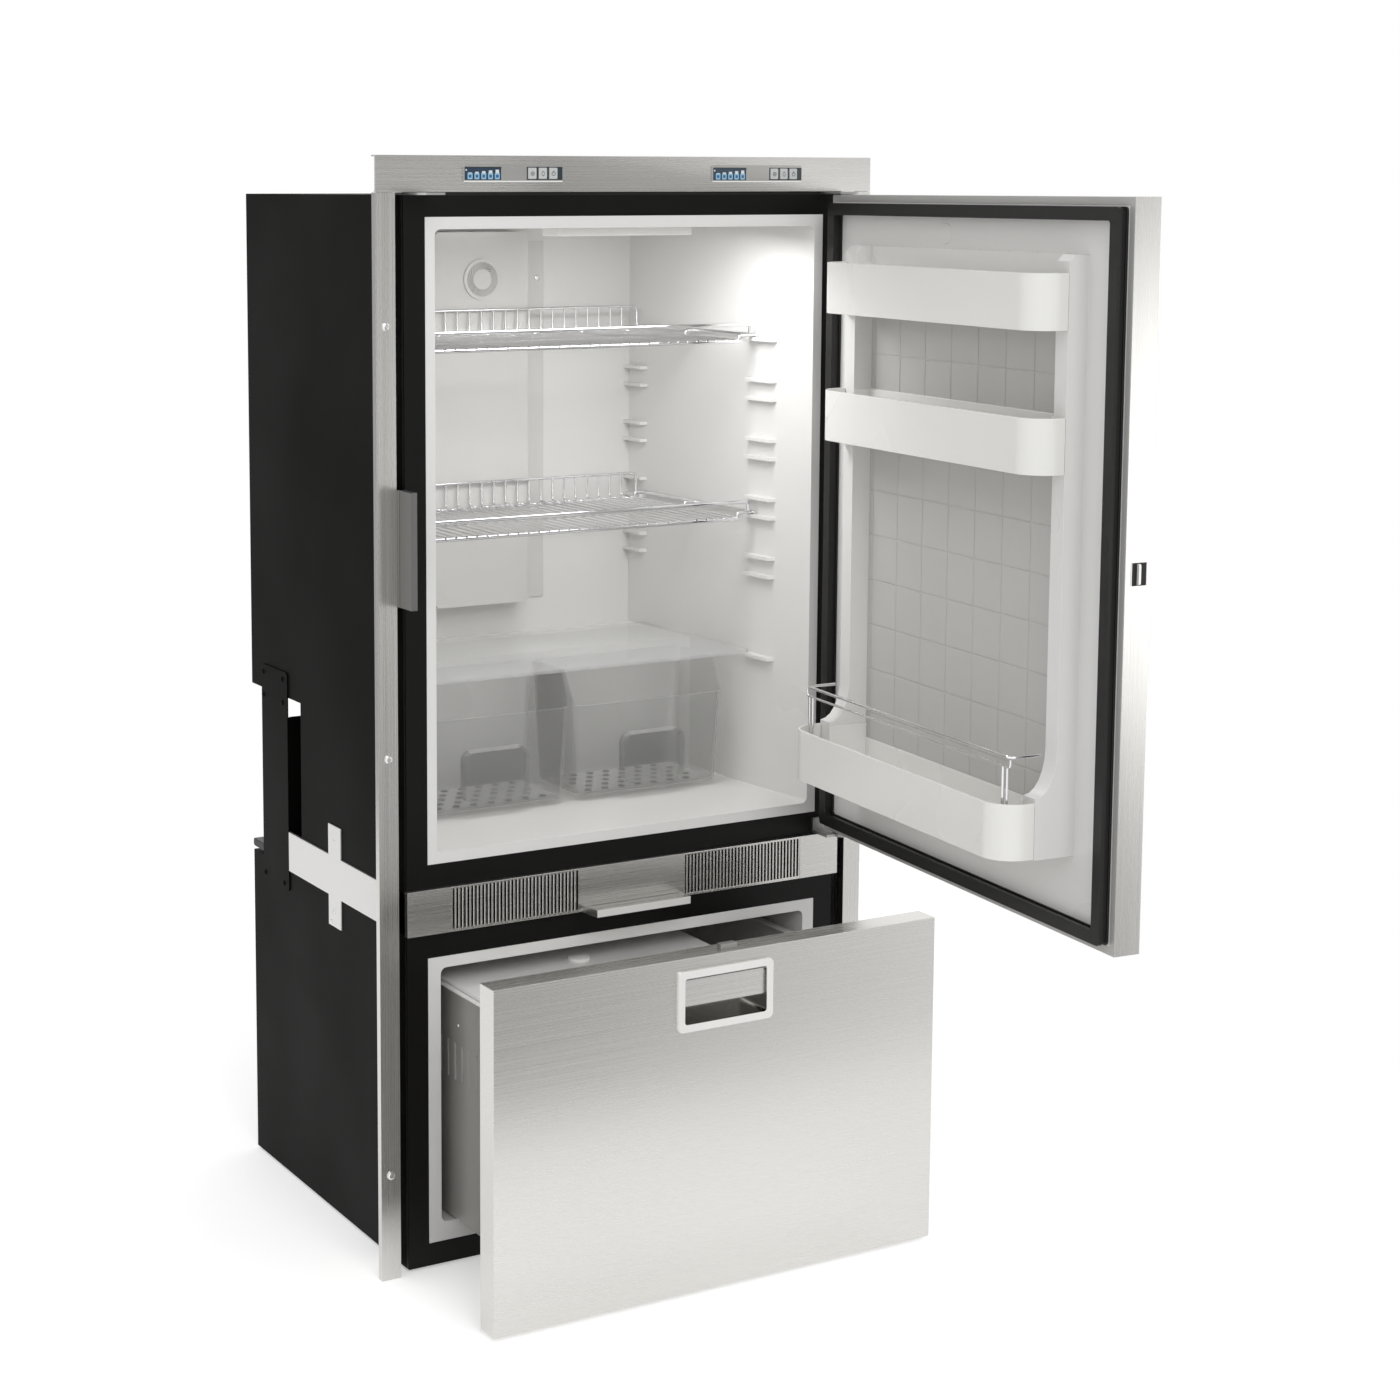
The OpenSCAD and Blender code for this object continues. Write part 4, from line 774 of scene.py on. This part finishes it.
def crisper_shell(bm):
    """The right-hand bin, without its pull."""
    part = bmesh.new()
    middle = (crisper_mid, (crisper_near + crisper_far) / 2, (crisper_low + crisper_top) / 2)
    box(part, (crisper_w, crisper_far - crisper_near, crisper_top - crisper_low), middle)
    foot = [v for v in part.verts if v.co.z < middle[2]]
    bmesh.ops.scale(part, vec=(1 - 16 / crisper_w, 0.97, 1), verts=foot,
                    space=Matrix.Translation([-c for c in middle]))
    bevelled(part, [e for e in part.edges if abs(e.verts[0].co.z - e.verts[1].co.z) > 50], 11, 6)
    bevelled(part, [e for e in part.edges if max(v.co.z for v in e.verts) < crisper_low + 1],
             5, 3)
    # The slanted cut and the level cut take off the upper front corner only
    level_z = crisper_top - front_drop
    start = Vector((0, crisper_near + slant_start, crisper_top))
    slope = (Vector((0, crisper_near + slant_end, level_z)) - start).normalized()
    slanted = Vector((0, slope.z, -slope.y))
    for point, normal in ((start, slanted), ((0, crisper_near, level_z), (0, 0, 1))):
        bmesh.ops.bisect_plane(part, geom=part.verts[:] + part.edges[:] + part.faces[:],
                               plane_co=point, plane_no=normal)
    cut_off = []
    for face in part.faces:
        at = face.calc_center_median()
        if (at - start).dot(slanted) > 0.01 and at.z > level_z - 0.01 and at.y < start.y:
            cut_off.append(face)
    bmesh.ops.delete(part, geom=cut_off, context="FACES")
    open_shell(part, crisper_wall,
               lambda f: f.normal.z > 0.9 and f.calc_center_median().z > crisper_top - 13)
    join(bm, part)


def crisper_pull(bm):
    """The pocket on its front."""
    part = bmesh.new()
    slab(part, (crisper_mid - 41, crisper_near - 12, 470),
         (crisper_mid + 41, crisper_near + 1, 530), 13, segments=6)
    bevelled(part, [e for e in part.edges if max(v.co.y for v in e.verts) < crisper_near - 11
                    and e.calc_face_angle(0) > 1], 3, 3)
    open_shell(part, crisper_wall, lambda f: f.normal.y > 0.9 or f.normal.z < -0.7)
    join(bm, part)


def crisper_dimples(bm):
    """Low domes in its floor, in rows that are offset by turns. Their darker, denser plastic is a
    painted shade.
    """
    for row in range(5):
        for column in range(8):
            x = 30 + 22 * column + (11 if row % 2 else 0)
            y = crisper_near + 18 + 18 * row
            if x < crisper_w - 26:
                turned(bm, [(0, 0.5), (3.4, 0.35), (4.8, -0.6), (3.4, -0.9), (0, -1.0)],
                       (x, y, crisper_low + 3.2), (0, 0, 1), 12)


for side, s in (("right", 1), ("left", -1)):
    node = "crisper_" + side
    for suffix, draw, finish in (("_shell", crisper_shell, "clear"),
                                 ("_pull", crisper_pull, "clear"),
                                 ("_dimples", crisper_dimples, "dimple")):
        bm = bmesh.new()
        draw(bm)
        if s < 0:
            bmesh.ops.scale(bm, vec=(-1, 1, 1), verts=bm.verts)
            bmesh.ops.reverse_faces(bm, faces=bm.faces)
        made = piece(bm, node + suffix, node, finish, [node] if suffix == "_shell" else [])
        print(made.name, "faces:", len(made.data.polygons))

# %% [markdown]
# Pan-head screws hold the stiles, the bracket plates, the strips over the gap and the cold-air
# cover, and two rivets sit on the drawer's box. The head is a turned dome. Its cross recess
# starts as a grid of nine squares that loses its corners, is scaled to narrow arms and pulled
# down into the head.

# %% Screws


def screw(bm, centre, axis, radius, height):
    """A pan head with a cross recess, standing on centre and facing along axis."""
    part = bmesh.new()
    spun(part, [(radius, 0), (radius, 0.35 * height), (0.88 * radius, 0.78 * height),
                (0.64 * radius, height)], 20)
    grid = bmesh.ops.create_grid(part, x_segments=3, y_segments=3, size=0.42 * radius,
                                 matrix=Matrix.Translation((0, 0, height)))["verts"]
    corners = [f for f in part.faces if all(v in grid for v in f.verts)
               and min(abs(c) for c in f.calc_center_median()[:2]) > 0.1 * radius]
    bmesh.ops.delete(part, geom=corners, context="FACES")
    grid = [v for v in grid if v.is_valid]
    for v in grid:
        v.co.x *= 0.6 if abs(v.co.x) < 0.2 * radius else 1
        v.co.y *= 0.6 if abs(v.co.y) < 0.2 * radius else 1
    cross = [f for f in part.faces if all(v in grid for v in f.verts)]
    pulled = bmesh.ops.extrude_face_region(part, geom=cross)["geom"]
    bmesh.ops.translate(part, vec=(0, 0, -0.55 * height),
                        verts=[g for g in pulled if isinstance(g, bmesh.types.BMVert)])
    top = [f for f in part.faces if all(v in grid for v in f.verts)]
    if top:
        bmesh.ops.delete(part, geom=top, context="FACES_ONLY")
    rims = [e for e in part.edges if len(e.link_faces) == 1
            and min(v.co.z for v in e.verts) > 0.9 * height]
    bmesh.ops.triangle_fill(part, use_beauty=True, edges=rims, normal=(0, 0, 1))
    bmesh.ops.recalc_face_normals(part, faces=part.faces)
    put(bm, part, centre, axis)


def screws(name, node, finish, radius, height, spots):
    """One piece of equal screws. Each spot is a centre and an axis."""
    bm = bmesh.new()
    for centre, axis in spots:
        screw(bm, centre, axis, radius, height)
    piece(bm, name, node, finish)
    print(name + ":", len(spots))


stile_x, stile_face, plate_x = 293.85, -213.2, 272.0
screws("stile_screws", "flange_stiles", "screw", 4.7, 2.5,
       [((s * stile_x, stile_face, z), (0, -1, 0)) for s in (-1, 1) for z in (115, 562, 1008)])
screws("plate_screws", "bracket_plates", "case", 3.0, 1.2,
       [((s * plate_x, y, z), (s, 0, 0)) for s in (-1, 1) for y in (114.5, 169.5)
        for z in (349, 561.5, 588.5)])
screws("strip_screws", "gap_covers", "screw", 2.4, 0.9,
       [((s * plate_x, y, z), (s, 0, 0)) for s in (-1, 1)
        for y, z in ((-26.4, 430), (-26.4, 350.6), (-18.5, 337.6))])
screws("cover_screw", "evaporator_cover", "screw", 3.4, 1.6, [((84.5, 156.6, 1040), (0, -1, 0))])
bm = bmesh.new()
for s in (-1, 1):
    turned(bm, [(0, 0.9), (1.2, 0.8), (2.0, 0.0)], (s * 216, -65 - drawer_out, 267), (s, 0, 0),
           16)
piece(bm, "drawer_rivets", "drawer_box", "screw")

# %% [markdown]
# The back of a built-in unit is a closed panel screwed to the folded sides. Two raised beads
# stiffen the large sheet, and black screws run along its edges.

# %% Back panel
back_face, column_x, bead_x, bead_half = 207.0, 257, 150, 60
spots = []
for rows in ((592, 770, 948, 1126), (18, 186, 354)):
    spots += [(s * column_x, back_face, z) for s in (-1, 1) for z in rows]
    spots += [(x, back_face, rows[-1]) for x in (-128, 0, 128)]
screws("back_screws", "upper_case", "case", 3.4, 1.2, [(spot, (0, 1, 0)) for spot in spots])
bm = bmesh.new()
slab_pair(bm, bead_x - bead_half, bead_x + bead_half, (back_face - 0.6, 640),
          (back_face + 1.2, 1080), 40, soften=0.7, segments=8)
piece(bm, "back_beads", "upper_case", "case")
print("back panel ready")

# %% [markdown]
# Behind the drawer's top stand two compressors: a deep-drawn steel pot and lid, welded at a
# raised seam, on a plate with rubber feet. Each has a plastic terminal box on one side and
# copper pipes that go up into the cold wall. The pot is a turned profile with large bends.

# %% Compressors
tray_top, pot_r, pot_h, pot_y, foot_h = 384.3, 48.0, 122.0, 148.5, 10.0


def arc_points(centre, radius, start, stop, steps):
    """Points of an arc, in degrees, as (radius, height) pairs."""
    angles = [math.radians(start + (stop - start) * i / steps) for i in range(steps + 1)]
    return [(centre[0] + radius * math.cos(a), centre[1] + radius * math.sin(a))
            for a in angles]


pots, boxes, pipes = bmesh.new(), bmesh.new(), bmesh.new()
for s in (-1, 1):
    x, floor_z = s * 130, tray_top + foot_h
    turned(pots, [(0, 0)] + arc_points((pot_r - 12, 12), 12, -90, 0, 6)
           + [(pot_r, 49.4), (pot_r + 1.9, 50), (pot_r + 1.9, 55.4), (pot_r, 56)]
           + arc_points((pot_r - 30, pot_h - 30), 30, 0, 90, 10) + [(0, pot_h)],
           (x, pot_y, floor_z), (0, 0, 1), 56)
    slab(pots, (x - 52, pot_y - 44, floor_z), (x + 52, pot_y + 44, floor_z + 2.5), 8, "Z",
         soften=0.4)
    slab(boxes, (x + pot_r - 4, pot_y - 18, floor_z + 62),
         (x + pot_r + 16, pot_y + 18, floor_z + 100), 4, "X", soften=1)
    for sx in (-1, 1):
        for sy in (-1, 1):
            turned(boxes, [(0, 0.1), (6.2, 0.1), (7, 1.5), (5.6, 5), (7, 8.5), (6.2, 9.9),
                           (0, 9.9)], (x + sx * 44, pot_y + sy * 36, tray_top), (0, 0, 1), 20)
    for y, out in ((14, 40), (-14, 16)):
        at = x - 20
        wire(pipes, rounded([(at, pot_y + y, floor_z + pot_h - 9),
                             (at, pot_y + y, 545 + y / 2), (at + s * out, pot_y + y, 545 + y / 2),
                             (at + s * out, pot_y + y, 568.8)], 9, 6), 6, 14)
made = piece(pots, "compressor_pots", "compressors", "enamel", ["compressors"])
piece(boxes, "compressor_boxes", "compressors", "fan")
piece(pipes, "compressor_pipes", "compressors", "copper", sharp=60)
print("pot faces:", len(made.data.polygons))

# %% [markdown]
# Each control panel has a dark window with five little bars of light in bottle shapes, a
# slate field round three keys, and a key mark on each. The shapes are printed films: thin
# slabs that stand out by 0.1 to 0.3 mm. A pale strip along the panel's lower edge is a
# painted highlight, drawn as a film too. The place between window and keys stays bare.

# %% Control panel
panel_centres = {"left": -147.6, "right": 153.1}
control_face, key_face = -215.2, -216.6


def film(bm, cx, x, z, lift, corner=0.0, thick=0.25):
    """A printed patch, or the strip of painted highlight, from x[0] to x[1] and z[0] to z[1] on
    the panel's face.
    """
    slab(bm, (cx + x[0], control_face - lift, z[0]),
         (cx + x[1], control_face - lift + thick, z[1]), corner, segments=3)


light, deep_light, pale_light, slate, glint = (bmesh.new() for _ in range(5))
for cx in panel_centres.values():
    for i, x in enumerate((-50.8, -42.9, -35.0, -27.1, -19.3)):
        film(light, cx, (x - 2.85, x + 2.85), (1156.7, 1163.4), 0.22, 0.9)
        film(deep_light, cx, (x - 1.5, x + 1.5), (1158.4, 1161.4), 0.30, 0.4)
        film(pale_light, cx, (x - 1.95, x + 1.95), (1162.9, 1163.6 + 0.72 * i), 0.26, 0.3)
    turned(pale_light, [(0, 0.3), (0.7, 0.25), (0.95, 0)],
           (cx - 55.2, control_face - 0.1, 1166.2), (0, -1, 0), 14)
    for x, z in (((15.3, 57.6), (1156.2, 1157.0)), ((15.3, 57.6), (1168.8, 1169.5)),
                 ((15.3, 16.5), (1156.5, 1169.2)), ((26.5, 28.9), (1156.5, 1169.2)),
                 ((38.9, 41.3), (1156.5, 1169.2)), ((51.3, 57.6), (1156.5, 1169.2))):
        film(slate, cx, x, z, 0.12)
    film(slate, cx, (-57.0, -14.4), (1167.9, 1169.5), 0.12)
    # The pale strip along the lower edge is a painted highlight.
    film(glint, cx, (-57.6, 57.6), (1153.95, 1155.2), 0.12, 0.0, 1.9)
piece(light, "display_bars", "display_windows", "segment")
piece(deep_light, "display_cores", "display_windows", "deep_blue")
piece(pale_light, "display_necks", "display_windows", "pale")
piece(slate, "key_field", "control_panels", "slate")
piece(glint, "panel_edge_painted_glint", "control_panels", "lamp")
for side, cx in panel_centres.items():
    for i in (1, 2, 3):
        bm = bmesh.new()
        middle = (cx + 21.5 + 12.4 * (i - 1), key_face + 0.1, 1162.6)
        turned(bm, [(2.3, 0), (2.3, 0.22), (1.6, 0.22), (1.6, 0)], middle, (0, -1, 0), 20)
        if i == 1:
            turned(bm, [(0, 0.22), (0.9, 0.22), (0.9, 0)], middle, (0, -1, 0), 12)
        if i == 2:
            bmesh.ops.scale(bm, vec=(0.75, 1, 1.15), verts=bm.verts,
                            space=Matrix.Translation([-c for c in middle]))
        if i == 3:
            slab(bm, (middle[0] - 0.3, key_face - 0.14, 1163.2),
                 (middle[0] + 0.3, key_face + 0.1, 1166.0))
        piece(bm, "key_mark_%s_%d" % (side, i), "button_%s_%d" % (side, i), "mark")
print("control panel ready")

# %% [markdown]
# On the free edge of the door the latch comes out of a mouth in the folded steel. Seen from
# the front it is a dark slot on either side of the bright latch, with a polished lip outside;
# the slot is a black sheet, a painted shade of the opening.
# A plug of the foaming hole sits on the liner, and a thin black strip on the drawer's catch
# paints the shade along its bend line.

# %% Door edge, plug and catch
edge_x = -270.5
mouth_low, mouth_high = 781.7, 803.3
# A black sheet in the mouth paints the shade of the opening.
slab_piece("latch_mouth_shade", "door_bezel", "gasket",
           [(edge_x - 0.35, -243.0, mouth_low), (edge_x + 0.2, -226.4, mouth_high), 1.2, "X"],
           turn=swing)
slab_piece("latch_tongue", "door_latch", "bezel",
           [(edge_x - 3.5, -234.9, 782.6), (edge_x + 14, -232.3, 802.4), 1.6, "Y", 0.3],
           replaced=["door_latch"], turn=swing)
slab_piece("latch_lips", "door_bezel", "bezel",
           [(edge_x - 0.8, -245.6, mouth_low - 0.4), (edge_x + 0.2, -242.8, mouth_high + 0.4),
            0.8, "X", 0.2],
           [(edge_x - 0.5, -226.6, mouth_low - 0.4), (edge_x + 0.2, -225.8, mouth_high + 0.4),
            0.3, "X"], turn=swing)
bm = bmesh.new()
turned(bm, [(0, 1.0), (9.6, 1.0), (10.6, 0.6), (11, 0)], (43, door_back, 1102), (0, 1, 0), 36)
piece(bm, "liner_plug", "door_liner", "liner", turn=swing)
# Painted shade: a black strip along the bend of the drawer's catch.
slab_piece("catch_bend_shade", "catches", "frame", [(-59, -226.5, 378.2), (52, -225.8, 378.42)])
tile_half, tile_low, tile_high = 184 * mm, 509 * mm, 1087 * mm
tile_face, fold_face = -218.3 * mm, -219.6 * mm


def tile_panel(face):
    """True for the flat faces between the two rails, which get a darker liner as painted shade.
    """
    ends = [to_closed @ soft["door_liner"].data.vertices[i].co for i in face.vertices]
    return (max(abs(at.x) for at in ends) < tile_half and max(at.y for at in ends) < tile_face
            and min(at.z for at in ends) > tile_low and max(at.z for at in ends) < tile_high)


# The drawer's catch takes brushed steel, and its faces towards the front take the pale bezel
# finish as a painted highlight.
print("drawer catch:", repaint(soft["catches"], "steel_x", lambda f: f.center.z < 0.5),
      repaint(soft["catches"], "bezel", lambda f: f.center.z < 0.5 and f.normal.y < -0.9))
# Painted shade: the tile panel between the rails takes the darker liner.
print("tile panel:", repaint(soft["door_liner"], "shade", tile_panel))
for part, shut in (("door_skin", to_closed), ("drawer_skin", drawer_in)):
    print(part, "folds:", repaint(soft[part], "fold",
                                  lambda f: (shut @ f.center).y > fold_face))

# %% [markdown]
# Black strips and sheets close the gaps that would let light through: a foam strip under the
# top flange, a sheet beside each compressor, a lip over each side strip and folded ends on the
# tray. The sheets beside the compressors are dark sheets that stand for the shade in the gap,
# and the lip paints the shadow line above each side strip. The grille is a frame of flat bars
# with upright fins, and a pale strip behind the drawer's slots is painted light, for the lit
# inside seen through them.

# %% Strips, sheets and grille
slab_piece("foam_strip", "front_frames", "gasket",
           [(-270, -206.9, 1139), (270, -203, 1150), 1, "X"])
bm = bmesh.new()
# Dark sheets beside the compressors, standing in for the shade in the gap over the tray.
slab_pair(bm, 186, 268, (108.5, 384.4), (110, 545), 4)
piece(bm, "shroud_shade_sheets", "fan_shroud", "frame")
bm = bmesh.new()
# A black lip at the case's edge that also paints the shadow line above each side strip; the
# folded tray ends below are really black.
slab_pair(bm, 270.4, 271.2, (-151, 411.6), (99, 413.8), 0.8)
slab_pair(bm, 256, 270.6, (176, 372.5), (208.3, 382), 3, "X", soften=1)
piece(bm, "lip_shadow_and_tray_ends", "bracket_plates", "gasket")
grille_low, grille_high, grille_near, grille_far = 369, 417.7, -214, -207
half_open, fin_pitch, fin_half = 68, 4.4, 1.1
bm = bmesh.new()
slab(bm, (-half_open, grille_near, grille_low), (half_open, grille_far, grille_high), 0, "X", 0.4)
slab_pair(bm, 221.5, 273.2, (grille_near, grille_low), (grille_far, grille_high), 0, "X", 0.4)
for low, high in ((grille_low, 372), (415.4, grille_high)):
    slab_pair(bm, 67.8, 221.7, (grille_near, low), (grille_far, high), 0, "X", 0.4)
for i in range(35):
    x = half_open + 3.2 + fin_pitch * i
    slab_pair(bm, x - fin_half, x + fin_half, (grille_near + 0.3, 371.6), (grille_far + 1, 415.8),
              0.3, "Z", segments=1)
piece(bm, "grille_bars", "vent_grille", "steel_x", ["vent_grille"])
bm = bmesh.new()
# Painted light: a pale strip behind the slots, for the lit inside seen through them.
slab_pair(bm, 213.2, 214.3, (-281, 200), (-116, 252), 3, "X")
piece(bm, "slot_painted_light", "drawer_box", "lamp")
bm = bmesh.new()
turned(bm, [(0, 3.15), (11, 3.15), (12.1, 2.4), (12.4, 0)],
       (-54, door_back + 180 - drawer_out, 308.7), (0, 0, 1), 40)
piece(bm, "cover_button", "freezer_cover", "lamp")
box_half, box_floor, box_near, box_far = 215.2 * mm, 52.5 * mm, -369 * mm, -12 * mm


def inside_drawer(face):
    """True for the faces of the steel box that lie within its outer sheet; they get the pale
    bezel finish as painted light.
    """
    at = face.center
    return abs(at.x) < box_half and at.z > box_floor and box_near < at.y < box_far


# Painted light: the inside of the steel box takes the pale finish, so that it looks lit.
print("drawer inside:", repaint(soft["drawer_box"], "bezel", inside_drawer))
